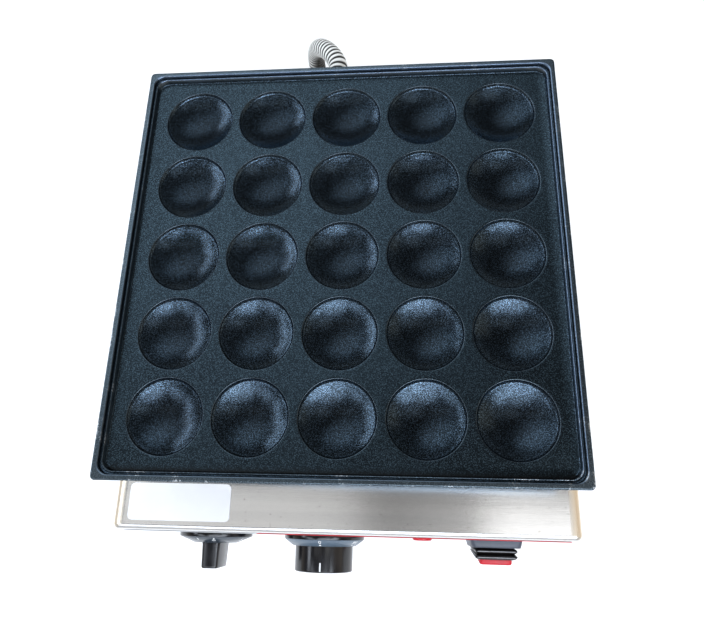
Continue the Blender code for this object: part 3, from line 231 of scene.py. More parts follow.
def make_brushed():
    """Lines along X, or along Y on faces that look sideways."""
    tree, given, put = new_group("brushed lines", {"Scale": 2500.0, "Stretch": 0.012}, ["Mask", "Streak"])
    sideways = axis_of(tree, add(tree, "TexCoord").outputs["Normal"], "X")
    faces_side = ramp(tree, math_node(tree, "ABSOLUTE", sideways), 0.6, 0.8)
    x, y, z = add(tree, "SeparateXYZ", {"Vector": object_place(tree)}).outputs
    short_x, short_y = times(tree, x, given["Stretch"]), times(tree, y, given["Stretch"])
    along_x = add(tree, "CombineXYZ", {"X": short_x, "Y": y, "Z": z}).outputs[0]
    along_y = add(tree, "CombineXYZ", {"X": short_x, "Y": short_y, "Z": z}).outputs[0]
    spot = add(tree, "Mix", {0: faces_side, 4: along_x, 5: along_y}, data_type="VECTOR").outputs[1]
    fill(tree, put["Mask"], noise_at(tree, spot, given["Scale"], 3.0, 0.7))
    fill(tree, put["Streak"], noise_at(tree, spot, times(tree, given["Scale"], 0.06), 2.0))
    return tree


def use(tree, group, **sockets):
    """Place a node group in a material."""
    return add(tree, "Group", sockets, node_tree=group)


def clouds_at(tree, spot, scale, low=0.35, high=0.65):
    """The mottle's mask: 0 below the low limit of its noise, 1 above the high one."""
    return use(tree, mottle, Vector=spot, Scale=scale, Low=low, High=high).outputs["Mask"]


mottle = make_mottle()
grains = make_grains()
brushed = make_brushed()
print("groups", [group.name for group in (mottle, grains, brushed)])

# %% [markdown]
# ## Everyday finishes
#
# Most small parts need the same recipe with other values: a base colour that drifts a little, a
# roughness that drifts with it, and a fine bump. A recipe written once as a function keeps them
# alike, and each finish only states its own colour and scales.

# %% Recipe for everyday finishes
FINE_GRAIN = 0.02 * MM


def start_material(name, roughness, metallic=0.0, **constants):
    """A new material, its tree and the sockets of its shader."""
    finish = bpy.data.materials.new(name)
    finish.use_nodes = True
    tree = finish.node_tree
    shader = tree.nodes["Principled BSDF"].inputs
    for socket, value in {"Roughness": roughness, "Metallic": metallic, **constants}.items():
        fill(tree, shader[socket.replace("_", " ")], value)
    return finish, tree, shader


def bumped(tree, shader, height, strength, distance):
    bump = add(tree, "Bump", {"Height": height, "Strength": strength, "Distance": distance})
    fill(tree, shader["Normal"], bump.outputs["Normal"])


def grained(tree, shader, spot, scale, strength, distance=FINE_GRAIN):
    """A bump of fine grains."""
    bumped(tree, shader, use(tree, grains, Vector=spot, Scale=scale).outputs["Height"], strength, distance)


def everyday(name, dark, light, roughness, cloud, grain, depth=FINE_GRAIN, **constants):
    """A finish whose colour and gloss drift slowly, with a fine grain."""
    finish, tree, shader = start_material(name, roughness, **constants)
    spot = object_place(tree)
    clouds = clouds_at(tree, spot, cloud)
    fill(tree, shader["Base Color"], blend_colours(tree, clouds, dark, light))
    fill(tree, shader["Roughness"], ramp(tree, clouds, 0.0, 1.0, roughness * 0.88, roughness * 1.12))
    grained(tree, shader, spot, grain, 0.4, depth)
    return finish


zinc = everyday("zinc plated steel", (0.50, 0.51, 0.53), (0.60, 0.61, 0.62), 0.40, 300.0, 2600.0,
                metallic=1.0)
sheath = everyday("oxidised element sheath", (0.11, 0.09, 0.08), (0.21, 0.19, 0.17), 0.55, 120.0, 2200.0,
                  metallic=1.0)
brass = everyday("nickel plated brass", (0.56, 0.53, 0.46), (0.68, 0.65, 0.58), 0.30, 250.0, 2600.0,
                 metallic=1.0)
copper = everyday("copper tube", (0.50, 0.25, 0.14), (0.66, 0.38, 0.24), 0.36, 220.0, 2400.0, metallic=1.0)
foot_rubber = everyday("foot rubber", (0.014, 0.014, 0.014), (0.028, 0.027, 0.026), 0.62, 90.0, 1800.0)
cream = everyday("cream moulding", (0.62, 0.57, 0.45), (0.72, 0.67, 0.55), 0.50, 130.0, 1500.0)
mineral = everyday("mineral fibre mat", (0.60, 0.57, 0.50), (0.78, 0.76, 0.70), 0.95, 220.0, 900.0, 0.3 * MM)
lead_sleeve = everyday("glass fibre sleeve", (0.62, 0.58, 0.50), (0.80, 0.77, 0.70), 0.80, 500.0, 1600.0,
                       0.1 * MM)
wire_sleeve = everyday("silicone wire sleeve", (0.08, 0.11, 0.24), (0.13, 0.18, 0.36), 0.50, 200.0, 1600.0)
black_plastic = everyday("black knob plastic", (0.004, 0.004, 0.005), (0.007, 0.007, 0.009), 0.20, 70.0,
                         2400.0)
bezel_plastic = everyday("slate bezel plastic", (0.040, 0.046, 0.066), (0.062, 0.070, 0.095), 0.42, 90.0,
                         2600.0)
boot_rubber = everyday("glossy boot rubber", (0.002, 0.002, 0.002), (0.003, 0.002, 0.002), 0.24, 80.0, 2200.0,
                       Specular_IOR_Level=0.25)
# Painted highlight along the ridges of the boot's pleats.
pleat_highlight_rubber = everyday("pleat highlight rubber", (0.26, 0.26, 0.28), (0.36, 0.36, 0.38), 0.45, 200.0, 1800.0)
print("everyday finishes", len(bpy.data.materials))

# %% [markdown]
# ## The non-stick coat
#
# The plate is cast aluminium with a sprayed black coat that holds fine mica flakes. The flakes
# are small mirrors, so the coat is nearly metallic, and its dark slate colour is how much of the
# room it gives back: black at first sight, slate blue where it mirrors a window. Lighter grains
# and a fine bump give the sprayed texture. Values stored on the mesh say where the coat differs:
# *dish* in the pits; a darkening value, darker and browner towards each pit's middle, and as a
# painted shadow of the front rim on the land; a crown value on the rim, on the pit lips as a
# painted highlight, and up to 2 for a painted highlight along the crown's inner edge and the
# step's edge; and *worn* where small chips show the bare casting.

# %% Coated casting
LAND_DARK = (0.012, 0.017, 0.021)
LAND_LIGHT = (0.017, 0.025, 0.031)
LAND_GRAIN = (0.054, 0.082, 0.102)
DISH_DARK = (0.009, 0.013, 0.016)
DISH_LIGHT = (0.014, 0.020, 0.025)
DISH_GRAIN = (0.087, 0.132, 0.182)
DARKENING_SHARE = 0.60
DARKENED_BROWN = (0.004, 0.003, 0.002)
RIM_DARK = (0.060, 0.078, 0.092)
RIM_LIGHT = (0.095, 0.118, 0.135)
RIDGE_PAINTED_HIGHLIGHT = (0.16, 0.21, 0.28)
BARE_CASTING = (0.42, 0.44, 0.46)
FLAKE_TINT = (0.75, 0.88, 1.0)
SPRAY_SCALE = 1700.0
SPRAY_DEPTH = 0.06 * MM
CHIP_SCALE = 70.0
CRUMBLE_SCALE = 900.0


def make_coat():
    finish, tree, shader = start_material("non-stick coated casting", 0.40, 0.9, Specular_Tint=FLAKE_TINT)
    spot = object_place(tree)
    clouds = clouds_at(tree, spot, 26.0, 0.3, 0.7)
    specks, height = use(tree, grains, Vector=spot, Scale=SPRAY_SCALE, Sparse=0.50).outputs
    dish, crown_and_highlight = stored(tree, "dish"), stored(tree, "crown_and_highlight")
    land_coat, dish_coat = [
        blend_colours(tree, specks, blend_colours(tree, clouds, dark, light), grain)
        for dark, light, grain in ((LAND_DARK, LAND_LIGHT, LAND_GRAIN), (DISH_DARK, DISH_LIGHT, DISH_GRAIN))
    ]
    rim_coat = blend_colours(tree, specks, RIM_DARK, RIM_LIGHT)
    coat = blend_colours(tree, dish, land_coat, dish_coat)
    # Darker and browner towards each pit's middle, and a painted shadow of the front rim on the land.
    coat = blend_colours(tree, times(tree, stored(tree, "darkening_and_shadow"), DARKENING_SHARE), coat, DARKENED_BROWN)
    coat = blend_colours(tree, ramp(tree, crown_and_highlight, 0.0, 1.0), coat, rim_coat)
    # Values from 1 to 2 paint a highlight along the crown's inner edge and the step's edge.
    coat = blend_colours(tree, ramp(tree, crown_and_highlight, 1.0, 2.0), coat, RIDGE_PAINTED_HIGHLIGHT)
    patch = clouds_at(tree, spot, CHIP_SCALE, 0.56, 0.60)
    crumble = clouds_at(tree, spot, CRUMBLE_SCALE, 0.46, 0.54)
    chips = times(tree, times(tree, patch, crumble), stored(tree, "worn"))
    fill(tree, shader["Base Color"], blend_colours(tree, chips, coat, BARE_CASTING))
    land_rough = ramp(tree, specks, 0.0, 1.0, 0.24, 0.30)
    fill(tree, shader["Roughness"], math_node(tree, "SUBTRACT", land_rough, times(tree, dish, 0.03)))
    bumped(tree, shader, height, 0.7, SPRAY_DEPTH)
    return finish


coated_casting = make_coat()
print(coated_casting.name)

# %% [markdown]
# ## Brushed stainless steel
#
# Rolled steel with a ground finish mirrors its room in long soft streaks across the scratches.
# The scratches are a bump here, so that the streaks come from the light itself. The outside
# bends carry a *pressed* value, where the press has left the sheet less sharp, and the bends at
# the two ends a *bend* value, which paints a straw yellow reflection into them.

# %% Stainless steel
STEEL_DARK = (0.68, 0.68, 0.68)
STEEL_LIGHT = (0.82, 0.815, 0.805)
STEEL_BEND_REFLECTION = (0.82, 0.72, 0.58)
STEEL_DIRT = (0.30, 0.28, 0.25)
PRESSED_ROUGHNESS = 0.20
LINE_SCALE = 2600.0
LINE_STRETCH = 0.012
LINE_DEPTH = 0.03 * MM
DIRT_SCALE = 420.0
DIRT_SHARE = 0.35


def make_steel(name, roughness, bend_reflection_colour):
    finish, tree, shader = start_material(name, roughness, 1.0)
    spot = object_place(tree)
    lines, streak = use(tree, brushed, Scale=LINE_SCALE, Stretch=LINE_STRETCH).outputs
    clouds = clouds_at(tree, spot, 18.0, 0.3, 0.7)
    tone = plus(tree, times(tree, lines, 0.55), times(tree, ramp(tree, streak, 0.35, 0.65), 0.35))
    steel = blend_colours(tree, tone, STEEL_DARK, STEEL_LIGHT)
    # Painted reflection: straw yellow on the end bends, by the bend value.
    steel = blend_colours(tree, stored(tree, "bend"), steel, bend_reflection_colour)
    dirt = times(tree, clouds_at(tree, spot, DIRT_SCALE, 0.66, 0.70), DIRT_SHARE)
    fill(tree, shader["Base Color"], blend_colours(tree, dirt, steel, STEEL_DIRT))
    rough = ramp(tree, plus(tree, clouds, lines), 0.3, 1.7, roughness * 0.85, roughness * 1.2)
    pressed = times(tree, stored(tree, "pressed"), PRESSED_ROUGHNESS)
    fill(tree, shader["Roughness"], plus(tree, rough, pressed))
    bumped(tree, shader, lines, 0.35, LINE_DEPTH)
    return finish


stainless = make_steel("brushed stainless steel", 0.15, STEEL_BEND_REFLECTION)
hidden_stainless = make_steel("plain stainless steel", 0.38, STEEL_LIGHT)
print(stainless.name)

# %% [markdown]
# ## Hose metal
#
# The hose is a strip of bright metal wound into ribs. Its crests catch the light and look cream
# white. Each groove is painted near black: painted shade, as light hardly reaches it, and grease
# that stays in it. A *groove* value on the mesh, from 0 on a crest to 1 in a groove, carries
# that, and a further value browns the inside of the crook below the plate: a painted shadow.

# %% Hose metal
HOSE_CREST = (0.93, 0.92, 0.88)
HOSE_SHADE = (0.90, 0.89, 0.84)
HOSE_GROOVE_SHADE_AND_GREASE = (0.018, 0.016, 0.012)
HOSE_CROOK_SHADOW = (0.036, 0.030, 0.021)


def make_hose_metal():
    finish, tree, shader = start_material("wound hose metal", 0.34, 0.08)
    spot = object_place(tree)
    crest = blend_colours(tree, clouds_at(tree, spot, 160.0, 0.3, 0.8), HOSE_CREST, HOSE_SHADE)
    # Painted shadow of the plate, brown, on the inside of the crook.
    crest = blend_colours(tree, stored(tree, "crook_shadow"), crest, HOSE_CROOK_SHADOW)
    # Painted shade and grease in the grooves: near black from 40 % of a groove's depth down.
    dark = ramp(tree, stored(tree, "groove"), 0.05, 0.40)
    fill(tree, shader["Base Color"], blend_colours(tree, dark, crest, HOSE_GROOVE_SHADE_AND_GREASE))
    fill(tree, shader["Roughness"], ramp(tree, dark, 0.0, 1.0, 0.30, 0.75))
    grained(tree, shader, spot, 2400.0, 0.25)
    return finish


hose_metal = make_hose_metal()
print(hose_metal.name)

# %% [markdown]
# ## Knob plastic
#
# The knobs are black and glossy where they are held, and the cone of each skirt is a little
# rougher and painted slate grey: a painted reflection of the bright room. A *skirt* value on the
# mesh says how much of that a point has, so that one knob stays one moulding.

# %% Knob plastic
KNOB_BLACK = (0.003, 0.003, 0.004)
KNOB_WORN_BLACK = (0.006, 0.006, 0.008)
SKIRT_PAINTED_REFLECTION = (0.100, 0.140, 0.185)


def make_knob_plastic():
    finish, tree, shader = start_material("knob plastic", 0.20)
    spot = object_place(tree)
    clouds, skirt = clouds_at(tree, spot, 70.0), stored(tree, "skirt")
    black = blend_colours(tree, clouds, KNOB_BLACK, KNOB_WORN_BLACK)
    # Painted reflection: the skirt's cone turns slate grey.
    fill(tree, shader["Base Color"], blend_colours(tree, skirt, black, SKIRT_PAINTED_REFLECTION))
    cloudy = ramp(tree, clouds, 0.0, 1.0, 0.16, 0.22)
    fill(tree, shader["Roughness"], plus(tree, cloudy, times(tree, skirt, 0.15)))
    grained(tree, shader, spot, 2400.0, 0.3)
    return finish


knob_plastic = make_knob_plastic()
print(knob_plastic.name)

# %% [markdown]
# ## Films, prints and red plastic
#
# The label and the front film are thin plastic sheets with a satin face. The film is printed:
# its colours follow the place on the panel, so they are read from Object coordinates, which are
# real metres here. A frame of red lines runs round the part with the thermostat, lamp and
# switch. The rocker and the lamp's lens are clear red plastic, so they let some light through.

# %% Films and reds
FILM_FIELD = (0.78, 0.785, 0.79)
FILM_CLOUD = (0.74, 0.745, 0.755)
FILM_RED = (0.62, 0.020, 0.030)
FILM_GREY = (0.60, 0.61, 0.62)
FILM_LINE = 1.6 * MM
PAST_FILM = 1 * MM
SATIN = 0.01 * MM
ZONE_EDGE = (timer_place.x + thermostat_place.x) / 2 - 1.5 * MM


def between(tree, value, low, high):
    """1 where a value lies between two limits, else 0."""
    return times(tree, math_node(tree, "GREATER_THAN", value, low), math_node(tree, "LESS_THAN", value, high))


def frame_mask(tree, spot, left, right, line=FILM_LINE + PAST_FILM):
    """1 on the lines of a rectangle as high as the film, else 0."""
    across, upward = axis_of(tree, spot, "X"), axis_of(tree, spot, "Z")
    low, high = film_low.z - PAST_FILM, film_high.z + PAST_FILM
    outside, inside = [
        times(tree, between(tree, across, left + inset, right - inset),
              between(tree, upward, low + inset, high - inset))
        for inset in (0, line)
    ]
    return math_node(tree, "SUBTRACT", outside, inside)


def make_panel_film():
    finish, tree, shader = start_material("printed panel film", 0.34, Coat_Weight=0.25, Coat_Roughness=0.2)
    spot = object_place(tree)
    clouds = clouds_at(tree, spot, 30.0)
    field = blend_colours(tree, clouds, FILM_FIELD, FILM_CLOUD)
    grey_frame = frame_mask(tree, spot, film_low.x - PAST_FILM, ZONE_EDGE)
    red_frame = frame_mask(tree, spot, ZONE_EDGE + FILM_LINE, film_high.x + PAST_FILM)
    field = blend_colours(tree, grey_frame, field, FILM_GREY)
    fill(tree, shader["Base Color"], blend_colours(tree, red_frame, field, FILM_RED))
    fill(tree, shader["Roughness"], ramp(tree, clouds, 0.0, 1.0, 0.30, 0.38))
    grained(tree, shader, spot, 1800.0, 0.2)
    return finish


panel_film = make_panel_film()
label_film = everyday("white label film", (0.86, 0.86, 0.86), (0.90, 0.90, 0.895), 0.36, 40.0, 1500.0, SATIN)
white_print = everyday("white dial print", (0.80, 0.80, 0.79), (0.88, 0.88, 0.87), 0.50, 300.0, 1800.0, SATIN)
grey_print = everyday("grey panel print", (0.10, 0.10, 0.11), (0.14, 0.14, 0.15), 0.50, 300.0, 1800.0, SATIN)
red_plastic = everyday("red rocker plastic", (0.58, 0.006, 0.018), (0.68, 0.010, 0.024), 0.40, 120.0, 1800.0,
                       SATIN, Transmission_Weight=0.12, Specular_IOR_Level=0.35)
red_lens = everyday("red lamp lens", (0.60, 0.010, 0.020), (0.74, 0.020, 0.035), 0.12, 160.0, 1200.0,
                    SATIN, Transmission_Weight=0.25, Coat_Weight=0.4, Coat_Roughness=0.05)
print(panel_film.name, label_film.name, red_plastic.name)

# %% [markdown]
# ## Dressing the solids that stay
#
# A solid whose shape is already right keeps its mesh and only gets a finish. The list goes from
# a finish to the nodes that wear it.

# %% Finishes on the solids
CORNERS = ("front_left", "rear_left", "front_right", "rear_right")
dressed = {
    zinc: ["base_plate", "clamp_bar_front", "clamp_bar_rear", "timer_shaft", "thermostat_shaft", "lamp_nut",
           "switch_pin", "thermostat_body", "thermostat_screw_left", "thermostat_screw_right"]
    + ["plate_stud_" + corner for corner in CORNERS] + ["foot_screw_" + corner for corner in CORNERS],
    sheath: ["heating_element"],
    brass: ["timer_nut", "hose_nut_upper", "hose_nut_lower", "hose_fitting_upper", "hose_fitting_lower"],
    copper: ["thermostat_bulb", "thermostat_capillary"],
    cream: ["timer_body", "lamp_body", "switch_paddle", "terminal_block"],
    mineral: ["insulation_mat"],
    lead_sleeve: ["element_lead_left", "element_lead_right"],
    wire_sleeve: ["wire_timer", "wire_thermostat", "wire_lamp", "wire_switch"],
    black_plastic: ["switch_housing", "mains_gland_nut", "timer_knob", "thermostat_knob", "mains_gland"],
    foot_rubber: ["foot_" + corner for corner in CORNERS],
    hidden_stainless: ["pillar_" + corner for corner in CORNERS] + ["plate_tray", "ribbed_hose"],
    stainless: ["body_shell"],
    coated_casting: ["griddle_plate"],
    bezel_plastic: ["switch_bezel"],
    boot_rubber: ["switch_boot"],
    red_plastic: ["rocker_cap"],
    red_lens: ["lamp_lens"],
    panel_film: ["panel_film"],
    label_film: ["blank_label"],
}
for finish, names in dressed.items():
    for name in names:
        slots = frame["nodes"][name].data.materials
        for index in range(len(slots)):
            slots[index] = finish
undressed = set(frame["nodes"]) - {name for names in dressed.values() for name in names}
print("dressed", sum(len(names) for names in dressed.values()), "left over", sorted(undressed))

# %% [markdown]
# ## From bmesh to a piece
#
# Each new piece is shaped upright at the origin and then carried to its place, so that its
# object can stay at the origin, unturned. One helper welds, turns the faces outwards, makes the
# object, lets it ride on its body and names its finish. Three shape helpers cover most pieces:
# an outline with round corners, a skin bridged over a row of outlines, and a spun profile. Two
# small ones add a box or an upright prism, and one adds copies of a shape at several places.

# %% Pieces
WELD = 0.001 * MM


def mesh_of(bm, name):
    """Turn a bmesh into a mesh, and let the bmesh go."""
    mesh = bpy.data.meshes.new(name)
    bm.to_mesh(mesh)
    bm.free()
    return mesh


def finished(name, bm, finish, place=Matrix.Identity(4), body="grill", edge=0.0, sharp=32, node=None):
    """Turn a bmesh into a piece that rides on a body and may stand for a node."""
    bmesh.ops.remove_doubles(bm, verts=bm.verts, dist=WELD)
    bmesh.ops.recalc_face_normals(bm, faces=bm.faces)
    bmesh.ops.transform(bm, matrix=place, verts=bm.verts)
    made = into_scene(name, mesh_of(bm, name))
    made.data.materials.append(finish)
    made.data.shade_smooth()
    if edge:
        bevel = made.modifiers.new("round edges", "BEVEL")
        bevel.width = edge
        bevel.segments = 3
        bevel.limit_method = "ANGLE"
        bevel.angle_limit = math.radians(sharp)
        bevel.harden_normals = True
    else:
        made.data.set_sharp_from_angle(angle=math.radians(sharp))
    if body:
        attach(made, body)
    if node:
        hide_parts(node)
    print(name, len(made.data.polygons), "faces")
    return made

# %% Shape helpers
def outline(bm, width, depth, corner, level=0.0, steps=8):
    """A rectangle with round corners: a circle whose quarters are pushed apart."""
    half_step = math.radians(45) / steps
    ring = bmesh.ops.create_circle(bm, segments=4 * steps, radius=corner / math.cos(half_step))["verts"]
    bmesh.ops.rotate(bm, verts=ring, cent=(0, 0, 0), matrix=Matrix.Rotation(half_step, 3, "Z"))
    for vert in ring:
        vert.co.x += math.copysign(width / 2 - corner, vert.co.x)
        vert.co.y += math.copysign(depth / 2 - corner, vert.co.y)
        vert.co.z = level
    return ring


def edges_of(ring):
    """The edges between a ring's own points, in their order, so that each run makes the same mesh."""
    own = set(ring)
    return list(dict.fromkeys(edge for vert in ring for edge in vert.link_edges if set(edge.verts) <= own))


def bridged(bm, rings, ends="capped", apart=1.0):
    """Skin a row of rings. Its ends are capped, joined to each other, or left open.

    Two rings that lie flat round one centre would be bridged crosswise, so the rings are stacked
    apart first and put back afterwards.
    """
    kept = [[vert.co.copy() for vert in ring] for ring in rings]
    for index, ring in enumerate(rings):
        bmesh.ops.translate(bm, vec=(0, 0, apart * index), verts=ring)
    loops = [edges_of(ring) for ring in rings]
    pairs = list(zip(loops, loops[1:]))
    if ends == "joined":
        pairs.append((loops[-1], loops[0]))
    for near, far in pairs:
        bmesh.ops.bridge_loops(bm, edges=near + far)
    for ring, places in zip(rings, kept):
        for vert, place in zip(ring, places):
            vert.co = place
    if ends == "capped":
        for loop in (loops[0], loops[-1]):
            bmesh.ops.edgeloop_fill(bm, edges=loop)
    return bm


def box_skin(rings, steps=8, ends="capped"):
    """A bridged skin from rows of (width, depth, corner, level)."""
    bm = bmesh.new()
    return bridged(bm, [outline(bm, *ring, steps) for ring in rings], ends)


def spun(profile, sides=64, closed=True):
    """Spin (radius, height) points round Z. A profile off the axis closes on itself unless told not to."""
    bm = bmesh.new()
    line = [bm.verts.new((radius, 0, height)) for radius, height in profile]
    edges = [bm.edges.new(pair) for pair in zip(line, line[1:])]
    if closed and profile[0][0] > 0:
        edges.append(bm.edges.new((line[-1], line[0])))
    bmesh.ops.spin(bm, geom=line + edges, cent=(0, 0, 0), axis=(0, 0, 1), angle=math.tau, steps=sides,
                   use_merge=True)
    return bm


def arc(centre, radius, start, end, steps):
    """Points (radius, height) on a round corner, in degrees."""
    turns = [math.radians(start + (end - start) * step / steps) for step in range(steps + 1)]
    return [(centre[0] + radius * math.cos(turn), centre[1] + radius * math.sin(turn)) for turn in turns]


def add_box(bm, size, middle=(0, 0, 0)):
    """Add a box of a given size round a middle."""
    verts = bmesh.ops.create_cube(bm, size=1.0)["verts"]
    bmesh.ops.scale(bm, vec=size, verts=verts)
    bmesh.ops.translate(bm, vec=middle, verts=verts)
    return verts


def add_prism(bm, sides, radius, low, high):
    """Add an upright prism: a filled circle whose face is raised."""
    foot = bmesh.ops.create_circle(bm, segments=sides, radius=radius, cap_ends=True)["verts"]
    bmesh.ops.translate(bm, vec=(0, 0, low), verts=foot)
    raised = bmesh.ops.extrude_face_region(bm, geom=foot[0].link_faces[:])["geom"]
    top = [item for item in raised if isinstance(item, bmesh.types.BMVert)]
    bmesh.ops.translate(bm, vec=(0, 0, high - low), verts=top)
    return foot + top


def add_copies(bm, other, matrices):
    """Add a copy of another bmesh at each place, and let the other go."""
    mesh = mesh_of(other, "copy")
    for matrix in matrices:
        before = len(bm.verts)
        bm.from_mesh(mesh)
        bm.verts.ensure_lookup_table()
        bmesh.ops.transform(bm, matrix=matrix, verts=bm.verts[before:])
    bpy.data.meshes.remove(mesh)


def values(bm, *names):
    """Make room for values that a finish reads at each point."""
    return [bm.verts.layers.float.new(name) for name in names]


def on_panel(place):
    return Matrix.Translation(place) @ FACING_FRONT


def on_rear(across, wall, height):
    return Matrix.Translation((across, wall, height)) @ FACING_REAR

# %% [markdown]
# ## The griddle plate
#
# The plate is one casting: a flat land, 25 shallow round pits with a steep lip, and a rim with a
# small step inside it. Cutting 25 bowls from a slab would leave long thin triangles round each
# lip, and a shiny coat shows every one. So one square cell is made instead: a spun bowl whose
# outer ring is pulled out to a square. Twenty-five copies weld edge to edge, and the rim's
# outlines close round them.

# %% One pit cell
PIT_PITCH = 54 * MM
PIT_RADIUS = 24.2 * MM
PIT_WALL_RADIUS = 23.0 * MM
PIT_WALL_DEPTH = 2.3 * MM
PIT_DEPTH = 9 * MM
LIP_ROUND = 0.6 * MM
LIP_PAINTED_HIGHLIGHT = 0.8
DISH_DARKENING_FALL = 1.2
PIT_SIDES = 80
DISH_STEPS = 14


def pit_profile():
    """From the land over the lip and down the wall, then along the dish to its middle."""
    sag = PIT_DEPTH - PIT_WALL_DEPTH
    ball = (PIT_WALL_RADIUS ** 2 + sag ** 2) / (2 * sag)
    sweep = math.asin(PIT_WALL_RADIUS / ball)
    profile = [(PIT_RADIUS + 1.6 * MM, 0)]
    profile += arc((PIT_RADIUS + LIP_ROUND, -LIP_ROUND), LIP_ROUND, 90, 165, 4)
    profile.append((PIT_WALL_RADIUS + 0.25 * MM, -PIT_WALL_DEPTH + 0.1 * MM))
    for step in range(DISH_STEPS + 1):
        turn = sweep * (1 - step / DISH_STEPS)
        profile.append((ball * math.sin(turn), -PIT_DEPTH + ball * (1 - math.cos(turn))))
    return profile


def pit_cell():
    bm = spun(pit_profile(), PIT_SIDES, closed=False)
    bmesh.ops.remove_doubles(bm, verts=bm.verts, dist=WELD)
    dish, crown_and_highlight, darkening_and_shadow = values(bm, "dish", "crown_and_highlight", "darkening_and_shadow")
    for vert in bm.verts:
        vert[dish] = float(vert.co.z < -LIP_ROUND / 20)
        # Darker and browner towards the pit's middle.
        vert[darkening_and_shadow] = max(0, 1 - DISH_DARKENING_FALL * (vert.co.xy.length / PIT_WALL_RADIUS) ** 2)
        # Painted highlight: the rim's lighter colour along the top of the lip.
        vert[crown_and_highlight] = float(-LIP_ROUND * 0.6 < vert.co.z < 0) * LIP_PAINTED_HIGHLIGHT
    rim_edges = [edge for edge in bm.edges if edge.is_boundary]
    spread = bmesh.ops.extrude_edge_only(bm, edges=rim_edges)["geom"]
    for vert in (item for item in spread if isinstance(item, bmesh.types.BMVert)):
        vert.co *= PIT_PITCH / 2 / max(abs(vert.co.x), abs(vert.co.y))
        vert.co.z = 0
    print("cell faces", len(bm.faces))
    return bm

# %% The whole plate
PITS_PER_SIDE = 5
PLATE_WIDTH = plate_high.x - plate_low.x
PLATE_CORNER = 3 * MM
INNER_CORNER = 7.5 * MM
RIM_WIDTH = 3.6 * MM
STEP_WIDTH = 2.2 * MM
FOOT_WIDTH = 0.6 * MM
STEP_DROP = 1.7 * MM
STEP_ROUND = 0.4 * MM
GROOVE_DEPTH = 3.3 * MM
GROOVE_WIDTH = 1.2 * MM
RIM_ROUND = 0.9 * MM
DRAFT = 2 * MM
UNDER_ROUND = 1 * MM
LIP_WEAR = 0.8
STEP_WEAR = 0.5
FRONT_LEFT_HIGHLIGHT_SHARE = 0.3
SPARED_WEAR = 0.15
FRONT_RIM_SHADOW = 1.5


def rim_rings():
    """Rows of (distance in from the outer wall, corner, level, wear), from the underside inwards."""
    low, top, floor = plate_low.z, plate_high.z, plate_floor
    rows = [
        (DRAFT + UNDER_ROUND, PLATE_CORNER - UNDER_ROUND, low, 0),
        (DRAFT, PLATE_CORNER, low + UNDER_ROUND, 0.6),
        (DRAFT * 0.9, PLATE_CORNER, low + 2 * UNDER_ROUND, 0),
        (0.2 * MM, PLATE_CORNER, top - 2.5 * RIM_ROUND, 0),
    ]
    for turn in map(math.radians, (0, 22.5, 45, 67.5, 90)):
        inward = RIM_ROUND * (1 - math.cos(turn))
        rows.append((inward, PLATE_CORNER - inward / 2, top - RIM_ROUND + RIM_ROUND * math.sin(turn), 1))
    rows.append((RIM_ROUND * 1.6, PLATE_CORNER, top, 0.1))
    edge = RIM_WIDTH - LIP_ROUND
    rows.append((edge - 0.3 * MM, INNER_CORNER, top, 0.1))
    for turn in map(math.radians, (90, 60, 30, 0)):
        level = top - LIP_ROUND + LIP_ROUND * math.sin(turn)
        rows.append((edge + LIP_ROUND * math.cos(turn), INNER_CORNER, level, LIP_WEAR))
    groove = top - GROOVE_DEPTH
    rows += [
        (RIM_WIDTH + 0.05 * MM, INNER_CORNER, groove + 0.3 * MM, 0),
        (RIM_WIDTH + 0.3 * MM, INNER_CORNER, groove, 0),
        (RIM_WIDTH + GROOVE_WIDTH - 0.2 * MM, INNER_CORNER, groove, 0),
    ]
    edge = RIM_WIDTH + STEP_WIDTH - 0.45 * MM
    for turn in map(math.radians, (150, 110, 70, 20)):
        level = top - STEP_DROP - STEP_ROUND * (1 - math.sin(turn))
        rows.append((edge + STEP_ROUND * math.cos(turn), INNER_CORNER, level, STEP_WEAR))
    foot = RIM_WIDTH + STEP_WIDTH + FOOT_WIDTH
    rows += [
        (foot - 0.45 * MM, INNER_CORNER, floor + 0.75 * MM, 0),
        (foot - 0.1 * MM, INNER_CORNER, floor + 0.2 * MM, 0),
        (foot + 0.4 * MM, INNER_CORNER, floor, 0),
    ]
    return rows


